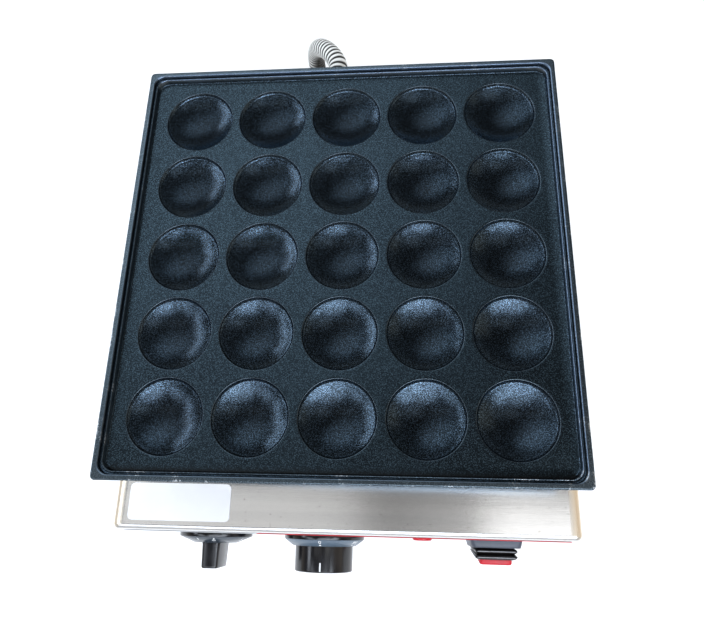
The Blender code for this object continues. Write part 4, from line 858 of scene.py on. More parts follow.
def make_griddle():
    bm = bmesh.new()
    worn, dish, crown_and_highlight, darkening_and_shadow = values(bm, "worn", "dish", "crown_and_highlight", "darkening_and_shadow")
    rings = []
    for inward, corner, level, wear in rim_rings():
        width = PLATE_WIDTH - 2 * inward
        ring = outline(bm, width, width, corner, level, 10)
        for vert in ring:
            knocked = vert.co.x > 0 or vert.co.y < 0
            vert[worn] = wear * (1 if knocked else SPARED_WEAR)
            vert[dish] = float(inward > RIM_WIDTH - 2 * LIP_ROUND and level > plate_floor)
            faces_front = width / 2 - corner + vert.co.y < -0.7 * corner
            faces_left = width / 2 - corner + vert.co.x < -0.7 * corner
            # Painted highlight on the crown's inner edge and the step's edge, weaker where they face the
            # front or the left.
            ridge = float(wear in (LIP_WEAR, STEP_WEAR)) * (FRONT_LEFT_HIGHLIGHT_SHARE if faces_front or faces_left else 1)
            vert[crown_and_highlight] = float(level > plate_high.z - 0.4 * MM) * (1 - ridge) + 2 * ridge
            # Painted shadow of the front rim on the land beside it.
            vert[darkening_and_shadow] = FRONT_RIM_SHADOW * float(faces_front and inward > RIM_WIDTH + STEP_WIDTH)
        rings.append(ring)
    bridged(bm, rings, "open")
    bmesh.ops.edgeloop_fill(bm, edges=edges_of(rings[0]))
    first_cell_vert = len(bm.verts)
    places = [(number - (PITS_PER_SIDE - 1) / 2) * PIT_PITCH for number in range(PITS_PER_SIDE)]
    add_copies(bm, pit_cell(), [Matrix.Translation((x, y, plate_floor)) for x in places for y in places])
    bmesh.ops.remove_doubles(bm, verts=bm.verts[first_cell_vert:], dist=10 * WELD)
    block = set(bm.verts) - {vert for ring in rings for vert in ring}
    inner = [edge for edge in bm.edges if edge.is_boundary and set(edge.verts) <= block]
    bmesh.ops.translate(bm, vec=(0, 0, -1), verts=list(block))
    bmesh.ops.bridge_loops(bm, edges=inner + edges_of(rings[-1]))
    bmesh.ops.translate(bm, vec=(0, 0, 1), verts=list(block))
    finished("griddle_casting", bm, coated_casting, Matrix.Translation(plan),
             sharp=50, node="griddle_plate")


make_griddle()

# %% [markdown]
# ## The folded body
#
# The body is a box folded from 1.2 mm stainless sheet. A cube with a Bevel modifier would give
# round edges but no wall, so the sheet is skinned as outlines that run over the top bend, down
# the outside, round the flange below and back up inside. The bends at the two ends are wider
# than those in front and behind. The vents and the holes for the hose, the gland and the two
# shafts are then cut with one Boolean.

# %% Body sheet
SHEET = 1.2 * MM
BEND = 3.5 * MM
END_BEND = 7.5 * MM
BEND_STEPS = 8
BODY_CORNER = 4 * MM
FLANGE = 14 * MM
VENT_LENGTH = 40 * MM
VENT_WIDTH = 4 * MM
VENT_CORNER = 1.9 * MM
VENT_SPACING = 10 * MM
VENTS = 5
VENT_ACROSS = -95 * MM
VENT_DROP = 50 * MM
HALF_CUT = 4 * MM
HOSE_HOLE = 5.8 * MM
GLAND_HOLE = 8.05 * MM
SHAFT_HOLE = 5.3 * MM

upper_fitting_low, upper_fitting_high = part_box("hose_fitting_upper")
lower_fitting_low, lower_fitting_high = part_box("hose_fitting_lower")
gland_low, gland_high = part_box("mains_gland")
upper_fitting = (upper_fitting_low + upper_fitting_high) / 2
lower_fitting = (lower_fitting_low + lower_fitting_high) / 2
gland_place = (gland_low + gland_high) / 2


def shown_mesh(made):
    """The mesh that an object's modifier or text gives."""
    bpy.context.view_layer.update()
    return bpy.data.meshes.new_from_object(made.evaluated_get(bpy.context.evaluated_depsgraph_get()))


def boolean_cut(made, cutter_bm):
    """Cut a closed bmesh out of a piece for good."""
    bmesh.ops.recalc_face_normals(cutter_bm, faces=cutter_bm.faces)
    cutter = into_scene("cutter", mesh_of(cutter_bm, "cutter"))
    cutting = made.modifiers.new("cut", "BOOLEAN")
    cutting.object = cutter
    cutting.solver = "EXACT"
    result = shown_mesh(made)
    made.modifiers.remove(cutting)
    result.name = made.name
    made.data = result
    bpy.data.objects.remove(cutter)


def casing_rows(low, top):
    """Rows of (distance in, corner, level, polish of a bend, wide bend at the ends)."""
    tight = BODY_CORNER - BEND
    rows = [(BEND, tight, top, 0, 1)]
    for step in range(1, BEND_STEPS + 1):
        turn = math.radians(90 * step / BEND_STEPS)
        inward = BEND * (1 - math.sin(turn))
        polish = min(1, 2 * math.sin(2 * turn))
        rows.append((inward, BODY_CORNER - inward, top - BEND * (1 - math.cos(turn)), polish, 1))
    return rows + [
        (0, BODY_CORNER, low + 0.6 * MM, 0, 0), (0.2 * MM, BODY_CORNER, low + 0.1 * MM, 0, 0),
        (0.6 * MM, BODY_CORNER, low, 0, 0), (FLANGE, BODY_CORNER, low, 0, 0),
        (FLANGE, BODY_CORNER, low + SHEET, 0, 0), (SHEET, BODY_CORNER - SHEET, low + SHEET, 0, 0),
        (SHEET, BODY_CORNER - SHEET, top - BEND, 0, 0), (BEND, tight, top - SHEET, 0, 1),
    ]


def casing_holes():
    """Vents, the hose's and the gland's hole in the rear, and two shaft holes in front."""
    bm = bmesh.new()
    vent = (VENT_LENGTH, VENT_WIDTH, VENT_CORNER)
    rises = [(row - (VENTS - 1) / 2) * VENT_SPACING for row in range(VENTS)]
    add_copies(bm, box_skin([(*vent, -HALF_CUT), (*vent, HALF_CUT)]),
               [on_rear(VENT_ACROSS, body_high.y, body_high.z - VENT_DROP + rise) for rise in rises])
    for place, radius in (
        (on_rear(lower_fitting.x, body_high.y, lower_fitting.z), HOSE_HOLE),
        (on_rear(gland_place.x, body_high.y, gland_place.z), GLAND_HOLE),
        (on_panel(timer_place), SHAFT_HOLE), (on_panel(thermostat_place), SHAFT_HOLE),
    ):
        hole = spun([(0, -HALF_CUT), (radius, -HALF_CUT), (radius, HALF_CUT), (0, HALF_CUT)], 40)
        add_copies(bm, hole, [place])
    return bm


def make_casing():
    width, depth = body_high.x - body_low.x, body_high.y - body_low.y
    bm = bmesh.new()
    bend, pressed = values(bm, "bend", "pressed")
    widen = (END_BEND - BEND) / BEND
    rings = []
    for inward, corner, level, polish, wide in casing_rows(body_low.z, body_high.z):
        half_width = width / 2 - inward * (1 + widen * wide)
        ring = outline(bm, 2 * half_width, depth - 2 * inward, corner, level, 8)
        for vert in ring:
            sideways = (abs(vert.co.x) - half_width + corner) / corner
            # Painted reflection on the bends at the two ends, strongest midway round each bend.
            vert[bend] = polish * sideways ** 2
            vert[pressed] = polish
        rings.append(ring)
    bridged(bm, rings)
    middle = Matrix.Translation((body_middle.x, body_middle.y, 0))
    made = finished("folded_casing", bm, stainless, middle, sharp=40, node="body_shell")
    boolean_cut(made, casing_holes())
    made.data.set_sharp_from_angle(angle=math.radians(40))
    print("casing after cutting", len(made.data.polygons), "faces")


make_casing()

# %% [markdown]
# ## The tray under the plate
#
# A shallow stainless tray closes the heater's space. Only its four walls show, as a dark step
# between plate and body, but from the side they are easy to see. It is skinned like the body,
# open at the top, with a small bend along its lower edge.

# %% Plate tray
TRAY_SHEET = 1 * MM
TRAY_BEND = 2 * MM
TRAY_CORNER = 6 * MM


def make_tray():
    width = tray_high.x - tray_low.x
    inside = width - 2 * TRAY_SHEET
    low, top = tray_low.z, tray_high.z
    rings = [(inside, inside, TRAY_CORNER - TRAY_SHEET, low + TRAY_SHEET),
             (inside, inside, TRAY_CORNER - TRAY_SHEET, top), (width, width, TRAY_CORNER, top),
             (width, width, TRAY_CORNER, low + TRAY_BEND)]
    for turn in map(math.radians, (30, 60, 90)):
        inward = TRAY_BEND * (1 - math.cos(turn))
        side = width - 2 * inward
        rings.append((side, side, TRAY_CORNER - inward, low + TRAY_BEND * (1 - math.sin(turn))))
    finished("heater_tray", box_skin(rings), hidden_stainless, Matrix.Translation(plan),
             sharp=40, node="plate_tray")


make_tray()

# %% [markdown]
# ## The ribbed hose
#
# Behind the plate a wound metal hose carries the heater's leads from the tray down to the body.
# A curve with a round bevel could carry it, but its ribs would need a point for each change of
# radius anyway, so the rings are set along the line directly: seven for each rib, with a narrow
# groove between round crests. The line is two Bezier stretches, as the solid's is, and each
# ring follows the line's own direction without twisting round it.

# %% Hose
HOSE_CREST_RADIUS = 7.3 * MM
HOSE_GROOVE_DEPTH = 1.1 * MM
RIB_PITCH = 4.2 * MM
RIB_SHAPE = ((0.0, 1.0), (0.10, 0.86), (0.20, 0.26), (0.36, 0.0), (0.64, 0.0), (0.80, 0.26), (0.90, 0.86))
HOSE_SIDES = 28
HOSE_SWING = 67.6 * MM
HOSE_SIDE_SWING = 25.4 * MM
HOSE_DROP_SHARE = 0.55
HOSE_STRAIGHT = 21.6 * MM
UPPER_HANDLE = 11.3 * MM
SIDE_HANDLE = 40 * MM
LOWER_HANDLE = 15.3 * MM
HOSE_START = 10.6 * MM
CROOK_SHADOW_DROP = 5 * MM
CROOK_SHADOW_FADE = 8 * MM
TOWARD_CROOK = Vector((0.8, -0.6, 0))


def hose_line():
    """The hose's centre line, from the fitting on the tray to the one on the body's rear wall."""
    upper = Vector((upper_fitting.x, tray_high.y + HOSE_START, upper_fitting.z))
    lower = Vector((lower_fitting.x, body_high.y + HOSE_START, lower_fitting.z))
    straight = Vector((0, HOSE_STRAIGHT, 0))
    side = upper.x - HOSE_SIDE_SWING
    turn = Vector((side, body_high.y + HOSE_SWING, upper.z + (lower.z - upper.z) * HOSE_DROP_SHARE))
    lift = Vector((0, 0, SIDE_HANDLE))
    first = geometry.interpolate_bezier(
        upper + straight, upper + straight + Vector((0, UPPER_HANDLE, 0)), turn + lift, turn, 60)
    second = geometry.interpolate_bezier(
        turn, turn - lift, lower + straight + Vector((0, LOWER_HANDLE, 0)), lower + straight, 60)
    return [upper] + first + second[1:] + [lower]


def along(points, places):
    """The points at given distances along a line."""
    lengths = [0.0]
    for near, far in zip(points, points[1:]):
        lengths.append(lengths[-1] + (far - near).length)
    spots = []
    index = 0
    for place in places:
        while index < len(points) - 2 and lengths[index + 1] < place:
            index += 1
        share = (place - lengths[index]) / (lengths[index + 1] - lengths[index])
        spots.append(points[index].lerp(points[index + 1], share))
    return spots


def make_hose():
    points = hose_line()
    length = sum((far - near).length for near, far in zip(points, points[1:]))
    ribs = round(length / RIB_PITCH)
    pitch = length / ribs
    stations = [((rib + share) * pitch, depth) for rib in range(ribs) for share, depth in RIB_SHAPE]
    stations.append((length, RIB_SHAPE[0][1]))
    spots = along(points, [place for place, depth in stations])
    bm = bmesh.new()
    groove, crook_shadow = values(bm, "groove", "crook_shadow")
    axis = Vector((0, 0, 1))
    turned = Matrix.Identity(3)
    rings = []
    for index, (spot, (place, depth)) in enumerate(zip(spots, stations)):
        ahead = (spots[min(index + 1, len(spots) - 1)] - spots[max(index - 1, 0)]).normalized()
        turned = axis.rotation_difference(ahead).to_matrix() @ turned
        axis = ahead
        radius = HOSE_CREST_RADIUS - HOSE_GROOVE_DEPTH * depth
        ring = bmesh.ops.create_circle(bm, segments=HOSE_SIDES, radius=radius)["verts"]
        bmesh.ops.transform(bm, matrix=Matrix.Translation(spot) @ turned.to_4x4(), verts=ring)
        # Painted shadow of the plate: browner lower down, on the side of each ring that faces the crook.
        low = min(1, max(0, (points[0].z - spot.z - CROOK_SHADOW_DROP) / CROOK_SHADOW_FADE))
        for vert in ring:
            vert[groove] = depth
            vert[crook_shadow] = low * min(1, max(0, 1.4 * (vert.co - spot).normalized().dot(TOWARD_CROOK)))
        rings.append(ring)
    bridged(bm, rings, apart=0.0)
    finished("wound_hose", bm, hose_metal, sharp=70, node="ribbed_hose")
    print("hose", round(length * 1000, 1), "mm long with", ribs, "ribs")


make_hose()

# %% [markdown]
# ## Hose fittings and the mains gland
#
# Each end of the hose sits in a plated fitting: a hexagon for the wrench and a ferrule round the
# hose. A hexagon could be a cylinder with six sides, but its flats are what a wrench and a
# drawing measure, so it is a prism whose size is given across them. A live Bevel modifier does
# the small rounding. The gland is its plastic cousin, for the mains lead that isn't fitted here.

# %% Fittings and gland
FITTING_ACROSS = 17 * MM
FERRULE_START = 5.9 * MM
FERRULE_END = 17 * MM
GLAND_ACROSS = 19 * MM
GLAND_DOME = 8.25 * MM
GLAND_RIBS = 18


def hexagon(across, low, high):
    """A hexagonal prism whose size is given across its flats."""
    bm = bmesh.new()
    add_prism(bm, 6, across / 2 / math.cos(math.radians(30)), low, high)
    return bm


def make_fitting(name, wall_y, centre, node):
    place = on_rear(centre.x, wall_y, centre.z)
    finished(name + "_hexagon", hexagon(FITTING_ACROSS, 0.3 * MM, 6 * MM), brass, place,
             edge=0.5 * MM, node=node)
    outer, inner, bore = 9 * MM, 7.45 * MM, 4.3 * MM
    start, end = FERRULE_START, FERRULE_END
    profile = [(bore, start), (outer - 0.6 * MM, start), (outer - 0.6 * MM, start + 0.9 * MM),
               (outer, start + 1.1 * MM), (outer, start + 4.4 * MM), (outer - 0.5 * MM, start + 4.8 * MM),
               (outer - 0.5 * MM, start + 5.6 * MM), (outer, start + 6 * MM), (outer, end - 1.4 * MM),
               (outer - 0.8 * MM, end - 0.3 * MM), (outer - 1.2 * MM, end), (inner, end),
               (inner, end - 7 * MM), (bore, end - 7 * MM)]
    finished(name + "_ferrule", spun(profile), brass, place, edge=0.15 * MM)


def make_gland():
    place = on_rear(gland_place.x, body_high.y, gland_place.z)
    finished("gland_hexagon", hexagon(GLAND_ACROSS, 0.3 * MM, 5 * MM), black_plastic, place,
             edge=0.5 * MM, node="mains_gland")
    dome, bore = GLAND_DOME, 4 * MM
    profile = [(bore, 4.9 * MM), (dome, 4.9 * MM), (dome, 12.5 * MM)]
    profile += arc((dome - 3.5 * MM, 14 * MM), 3.5 * MM, 25, 80, 6)[1:]
    profile += [(bore + 0.8 * MM, 18.3 * MM), (bore, 17.4 * MM)]
    finished("gland_dome", spun(profile), black_plastic, place, edge=0.15 * MM)
    ribs = bmesh.new()
    for index in range(GLAND_RIBS):
        rib = add_box(ribs, (0.9 * MM, 0.9 * MM, 7 * MM), (dome, 0, 9 * MM))
        bmesh.ops.transform(ribs, matrix=Matrix.Rotation(math.tau * index / GLAND_RIBS, 4, "Z"), verts=rib)
    finished("gland_grip_ribs", ribs, black_plastic, place, edge=0.2 * MM)


make_fitting("upper_fitting", tray_high.y, upper_fitting, "hose_fitting_upper")
make_fitting("lower_fitting", body_high.y, lower_fitting, "hose_fitting_lower")
make_gland()

# %% [markdown]
# ## Feet and base screws
#
# Four rubber feet carry the grill, each a cone frustum with a recess for its screw. The base
# plate is held by pan-head screws along its edge, which the solids leave out. Both are spun:
# a profile is quicker to read than a stack of cones.

# %% Feet and screws
FOOT_RADIUS = 16 * MM
FOOT_ROUND = 2 * MM
FOOT_RECESS = 9 * MM
HEAD_RADIUS = 4 * MM
HEAD_ROUND = 1.4 * MM
HEAD_SKIRT = 0.7 * MM
HEAD_HEIGHT = HEAD_SKIRT + HEAD_ROUND
CROSS_LENGTH = 3.6 * MM
CROSS_WIDTH = 0.9 * MM
CROSS_CUTTER = 2.4 * MM
SCREW_INSET = 7 * MM


def make_feet():
    for corner in CORNERS:
        low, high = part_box("foot_" + corner)
        centre, top = (low + high) / 2, high.z
        profile = [(7 * MM, 0), (FOOT_RADIUS - FOOT_ROUND, 0)]
        profile += arc((FOOT_RADIUS - FOOT_ROUND, FOOT_ROUND), FOOT_ROUND, -90, 0, 5)[1:]
        profile += [(FOOT_RADIUS - 0.9 * MM, 9 * MM), (FOOT_RADIUS - 1.4 * MM, 9.4 * MM),
                    (14.2 * MM, top - 0.8 * MM), (13.4 * MM, top), (2.8 * MM, top), (2.8 * MM, FOOT_RECESS),
                    (7 * MM, FOOT_RECESS)]
        finished("rubber_foot_" + corner, spun(profile), foot_rubber,
                 Matrix.Translation((centre.x, centre.y, 0)), edge=0.25 * MM, node="foot_" + corner)


def pan_head():
    """A pan-head screw's head, below zero, with a cross recess."""
    profile = [(0, 0), (HEAD_RADIUS, 0), (HEAD_RADIUS, -HEAD_SKIRT)]
    profile += arc((HEAD_RADIUS - HEAD_ROUND, -HEAD_SKIRT), HEAD_ROUND, 0, -90, 5)[1:] + [(0, -HEAD_HEIGHT)]
    made = finished("head", spun(profile, 32), zinc, body=None)
    for across, along_y in ((CROSS_LENGTH, CROSS_WIDTH), (CROSS_WIDTH, CROSS_LENGTH)):
        cutter = bmesh.new()
        add_box(cutter, (across, along_y, CROSS_CUTTER), (0, 0, -HEAD_HEIGHT))
        boolean_cut(made, cutter)
    bm = bmesh.new()
    bm.from_mesh(made.data)
    bpy.data.objects.remove(made)
    return bm


def make_base_screws():
    """Eight heads along the plate's edge; the long rows' screws each stopped at their own angle."""
    base_low, base_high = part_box("base_plate")
    places = []
    for across in (-0.30, 0.0, 0.30):
        for side in (base_low.y + SCREW_INSET, base_high.y - SCREW_INSET):
            turn = Matrix.Rotation(across * 7 + side * 9, 4, "Z")
            x = across * (base_high.x - base_low.x)
            places.append(Matrix.Translation((x, side, base_low.z)) @ turn)
    for side in (base_low.x + SCREW_INSET, base_high.x - SCREW_INSET):
        places.append(Matrix.Translation((side, body_middle.y, base_low.z)))
    bm = bmesh.new()
    add_copies(bm, pan_head(), places)
    finished("base_screw_heads", bm, zinc, sharp=30)


make_feet()
make_base_screws()

# %% [markdown]
# ## Knob skirts and their marks
#
# Both knobs have a round skirt with a cone face, and the scale is printed on the cone in white.
# A texture would need an image, and the letters would blur. Real letters are made instead: a
# text curve becomes a mesh, and each of its points is wrapped on the cone, by its angle round
# the knob and its distance up the slope. The print is a twentieth of a millimetre proud.

# %% Marks on a cone
PANEL_GAP = 1.2 * MM
KNOB_RIM = 2.8 * MM
KNOB_CONE = 4.2 * MM
KNOB_REACH = 24.95 * MM
KNOB_WALL = 2 * MM
SKIRT_EDGE = PANEL_GAP + KNOB_RIM
SKIRT_FRONT = SKIRT_EDGE + KNOB_CONE
PRINT_HEIGHT = 0.05 * MM
LETTER_WEIGHT = 0.012


class Scale:
    """White print on the cone of a knob's skirt, between an outer and an inner radius."""

    def __init__(self, outer, inner):
        self.outer = outer
        self.slope = math.atan2(KNOB_CONE, outer - inner)
        self.prints = bmesh.new()

    def at(self, degrees, radius, across, outward, proud):
        """A point on the cone: across follows the clock, outward runs to the skirt's edge."""
        middle = radius + outward * math.cos(self.slope)
        turn = math.radians(degrees) + across / radius
        height = SKIRT_EDGE + (self.outer - middle) * math.tan(self.slope)
        reach = middle + proud * math.sin(self.slope)
        return Vector((reach * math.sin(turn), reach * math.cos(turn), height + proud * math.cos(self.slope)))

    def put(self, mark, degrees, radius):
        """Wrap a flat mark on the cone and add it to the prints."""
        for vert in mark.verts:
            vert.co = self.at(degrees, radius, *vert.co)
        add_copies(self.prints, mark, [Matrix.Identity(4)])


def text_bmesh(words, size):
    """Letters as a thin closed mesh, centred on the origin."""
    curve = bpy.data.curves.new("letters", "FONT")
    curve.body = words
    curve.size = size
    curve.align_x = "CENTER"
    curve.align_y = "CENTER"
    curve.extrude = PRINT_HEIGHT
    curve.offset = size * LETTER_WEIGHT
    guide = into_scene("letters", curve)
    bm = bmesh.new()
    bm.from_mesh(shown_mesh(guide))
    bpy.data.objects.remove(guide)
    middle = (max(vert.co.y for vert in bm.verts) + min(vert.co.y for vert in bm.verts)) / 2
    bmesh.ops.translate(bm, vec=(0, -middle, 0), verts=bm.verts)
    return bm


def bar_bmesh(width, length):
    bm = bmesh.new()
    add_box(bm, (width, length, 2 * PRINT_HEIGHT))
    return bm


def disc_bmesh(radius, inner=0, sides=20):
    """A dot, or a ring where it has an inner radius."""
    top, back = PRINT_HEIGHT, -PRINT_HEIGHT
    return spun([(inner, top), (radius, top), (radius, back), (inner, back)], sides)


def skirt_profile(outer, inner):
    """A skirt from the top of its cone over its rounded rim to its hollow back."""
    back = SKIRT_FRONT - KNOB_WALL
    return [(inner, SKIRT_FRONT), (outer - 0.25 * MM, SKIRT_EDGE + 0.15 * MM),
            (outer, SKIRT_EDGE - 0.25 * MM), (outer, PANEL_GAP + 0.3 * MM), (outer - 0.3 * MM, PANEL_GAP),
            (outer - KNOB_WALL, PANEL_GAP), (inner - KNOB_WALL, back), (0, back)]


def moulded(profile, sides, slate):
    """A spun knob whose skirt value is given by a rule for each point."""
    bm = spun(profile, sides)
    skirt = values(bm, "skirt")[0]
    for vert in bm.verts:
        vert[skirt] = slate(vert.co)
    return bm

# %% [markdown]
# ## The timer knob
#
# The timer's knob turns through five minutes. Its grip is a bar across the skirt, a little
# narrower at the tip, with rounded edges. The marks are a ring with a short line at zero, a
# short line each half minute and a figure each minute.

# %% Timer knob
TIMER_SKIRT = 25.5 * MM
TIMER_CONE_TOP = 15.5 * MM
TIMER_SKIRT_REFLECTION = 0.3
TIMER_MINUTES = 5
HALF_MINUTE_TURN = 30
TIMER_PRINT_TURN = 12
GRIP_ROWS = (
    (13.0, 27.0, 3.0, SKIRT_FRONT - 1 * MM), (13.0, 27.0, 3.0, SKIRT_FRONT + 0.2 * MM),
    (12.7, 26.6, 3.0, SKIRT_FRONT + 1.2 * MM), (11.8, 25.0, 2.6, KNOB_REACH - 1.4 * MM),
    (11.6, 24.8, 2.5, KNOB_REACH - 0.8 * MM), (11.0, 24.2, 2.2, KNOB_REACH - 0.25 * MM),
    (10.2, 23.4, 1.8, KNOB_REACH),
)


def make_timer_knob():
    place = on_panel(timer_place)
    profile = [(0, SKIRT_FRONT), (TIMER_CONE_TOP - 0.6 * MM, SKIRT_FRONT)]
    profile += skirt_profile(TIMER_SKIRT, TIMER_CONE_TOP)
    # Painted reflection on the skirt's front, at 0.3 of full strength.
    skirt = moulded(profile, 96, lambda spot: TIMER_SKIRT_REFLECTION * float(spot.z > SKIRT_EDGE))
    finished("timer_knob_skirt", skirt, knob_plastic, place, "timer", sharp=40,
             node="timer_knob")
    grip = box_skin([(across * MM, along_bar * MM, corner * MM, level)
                     for across, along_bar, corner, level in GRIP_ROWS], 6)
    finished("timer_knob_grip", grip, knob_plastic, place, "timer", sharp=40)
    scale = Scale(TIMER_SKIRT, TIMER_CONE_TOP)
    scale.put(disc_bmesh(1.15 * MM, 0.70 * MM, 28), TIMER_PRINT_TURN, 20.0 * MM)
    scale.put(bar_bmesh(0.7 * MM, 2.4 * MM), TIMER_PRINT_TURN, 22.4 * MM)
    for half in range(1, 2 * TIMER_MINUTES + 1):
        degrees = TIMER_PRINT_TURN - HALF_MINUTE_TURN * half
        if half % 2:
            scale.put(bar_bmesh(0.8 * MM, 2.6 * MM), degrees, 21.8 * MM)
        else:
            scale.put(text_bmesh(str(half // 2), 4.4 * MM), degrees, 21.0 * MM)
    finished("timer_scale", scale.prints, white_print, place, "timer", sharp=40)


make_timer_knob()

# %% [markdown]
# ## The thermostat knob
#
# The thermostat's knob is one moulding: a wide skirt with the temperatures and a drum to hold.
# The scale runs against the clock from zero, so that turning the knob with the clock brings the
# hotter figures to the top. A short white line on the drum shows where zero is.

# %% Thermostat knob
THERMOSTAT_SKIRT = 28 * MM
THERMOSTAT_CONE_TOP = 22.25 * MM
DRUM_RADIUS = 20 * MM
DRUM_ROUND = 0.9 * MM
FIGURE_RADIUS = 26.0 * MM
DOT_RADIUS = 23.5 * MM
FIRST_HEAT_TURN = 80
HEAT_STEP_TURN = 44
HEATS = (50, 100, 150, 200, 250, 300)
DOTS_PER_STEP = 5


def make_thermostat_knob():
    place = on_panel(thermostat_place)
    drum, edge, face = DRUM_RADIUS, DRUM_ROUND, KNOB_REACH - 0.3 * MM
    profile = [(0, face), (drum - 3.2 * MM, face), (drum - 2.8 * MM, KNOB_REACH)]
    profile += arc((drum - edge, KNOB_REACH - edge), edge, 90, 0, 5)
    profile += [(drum + 0.1 * MM, SKIRT_FRONT + 0.3 * MM), (drum + 0.4 * MM, SKIRT_FRONT)]
    profile += skirt_profile(THERMOSTAT_SKIRT, THERMOSTAT_CONE_TOP)
    cone_top = THERMOSTAT_CONE_TOP - 0.01 * MM
    # Painted reflection on the skirt's cone.
    knob = moulded(profile, 128, lambda spot: float(spot.z > SKIRT_EDGE and spot.xy.length > cone_top))
    finished("thermostat_knob_moulding", knob, knob_plastic, place, "thermostat", sharp=40,
             node="thermostat_knob")
    scale = Scale(THERMOSTAT_SKIRT, THERMOSTAT_CONE_TOP)
    scale.put(text_bmesh("0", 4.2 * MM), 0, FIGURE_RADIUS)
    scale.put(disc_bmesh(0.75 * MM), 0, 23.3 * MM)
    for index, heat in enumerate(HEATS):
        degrees = -(FIRST_HEAT_TURN + HEAT_STEP_TURN * index)
        scale.put(text_bmesh(str(heat), 3.3 * MM), degrees, FIGURE_RADIUS)
        scale.put(disc_bmesh(0.6 * MM), degrees, DOT_RADIUS)
        if index:
            for dot in range(1, DOTS_PER_STEP):
                scale.put(disc_bmesh(0.42 * MM), degrees + HEAT_STEP_TURN * dot / DOTS_PER_STEP, DOT_RADIUS)
    lying = Matrix.Rotation(math.radians(-90), 4, "X")
    upright = Matrix.Translation((0, drum, KNOB_REACH - edge - 2.7 * MM)) @ lying
    add_copies(scale.prints, bar_bmesh(1.0 * MM, 5.4 * MM), [upright])
    on_face = Matrix.Translation((0, drum - edge - 0.9 * MM, KNOB_REACH))
    add_copies(scale.prints, bar_bmesh(1.0 * MM, 1.7 * MM), [on_face])
    finished("thermostat_scale", scale.prints, white_print, place, "thermostat", sharp=40)


make_thermostat_knob()

# %% [markdown]
# ## Lamp, panel marks and switch
#
# The lamp's lens is a low dome of clear red plastic in a thin collar. Small dark marks on the
# film show where each knob is read. The switch is a rocker under a pleated rubber boot: the
# bezel stays on the panel, the red cap rides on the rocker, and the boot between them is tilted
# a little more at each pleat. A thin light grey bead runs round each pleat and tilts with it:
# a painted highlight along the pleat's ridge.

# %% Lamp and panel marks
SEAT = 1.0 * MM
LENS_RADIUS = 6.75 * MM
LENS_HEIGHT = 3.6 * MM
LENS_ROUND = 1.2 * MM
MARK_RADIUS = 1.6 * MM
MARK_GAP = 3.2 * MM


def make_lamp():
    low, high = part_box("lamp_lens")
    place = Vector(((low.x + high.x) / 2, panel, (low.z + high.z) / 2))
    profile = [(0, LENS_HEIGHT), (3.0 * MM, LENS_HEIGHT - 0.05 * MM)]
    profile += arc((LENS_RADIUS - LENS_ROUND, LENS_HEIGHT - 0.15 * MM - LENS_ROUND), LENS_ROUND, 80, 0, 5)
    profile += [(LENS_RADIUS, SEAT), (0, SEAT)]
    finished("lamp_dome", spun(profile, 64), red_lens, on_panel(place), edge=0.12 * MM, sharp=40,
             node="lamp_lens")


def make_panel_marks():
    """A small triangle over each knob, pointing down at its scale."""
    marks = bmesh.new()
    for place, radius in ((timer_place, TIMER_SKIRT), (thermostat_place, THERMOSTAT_SKIRT)):
        mark = add_prism(marks, 3, MARK_RADIUS, 0, PRINT_HEIGHT)
        bmesh.ops.rotate(marks, verts=mark, cent=(0, 0, 0), matrix=Matrix.Rotation(math.pi, 3, "Z"))
        bmesh.ops.translate(marks, vec=(0, radius + MARK_GAP, panel - film_low.y), verts=mark)
        bmesh.ops.transform(marks, matrix=on_panel(place), verts=mark)
    finished("panel_marks", marks, grey_print, sharp=30)


make_lamp()
make_panel_marks()

# %% Rocker switch
BOOT_WIDTH = 24.4 * MM
BOOT_HEIGHT = 30.4 * MM
BOOT_WALL = 1.2 * MM
BOOT_CORNER = 3 * MM
BEZEL_THICKNESS = 5.2 * MM
PLEAT_REACH = 1.8 * MM
PLEAT_PITCH = 2.6 * MM
PLEATS = 2
PLEAT_STEPS = 6
BEAD_RADIUS = 0.28 * MM
BEAD_SIDES = 8
ROCKER_TILT = math.radians(9)
PIVOT_DEPTH = 4 * MM

pin_place = joint_place["rocker_press"]
switch_front = Vector((pin_place.x, panel, pin_place.z))
foot_distance = SEAT + PIVOT_DEPTH
neck_distance = foot_distance + BEZEL_THICKNESS + 0.3 * MM
top_distance = neck_distance + PLEATS * PLEAT_PITCH


def tilted(bm, width, height, corner, distance, share):
    """A ring in front of the pin, tilted by a share of the rocker's angle."""
    ring = outline(bm, width, height, corner, 0, 6)
    pivot = Matrix.Translation((0, 0, -PIVOT_DEPTH))
    turn = Matrix.Rotation(ROCKER_TILT * share, 4, "X")
    bmesh.ops.transform(bm, matrix=pivot @ turn @ Matrix.Translation((0, 0, distance)), verts=ring)
    return ring


def boot_rows():
    """Rows of (reach, distance from the pin, share of the tilt), from the foot to the top."""
    rows = [(0, foot_distance, 0), (0, neck_distance, 0)]
    for pleat in range(PLEATS):
        for step in range(1, PLEAT_STEPS + 1):
            part = pleat + step / PLEAT_STEPS
            reach = PLEAT_REACH * abs(math.sin(math.pi * step / PLEAT_STEPS)) ** 0.8
            rows.append((reach, neck_distance + part * PLEAT_PITCH, part / PLEATS))
    return rows


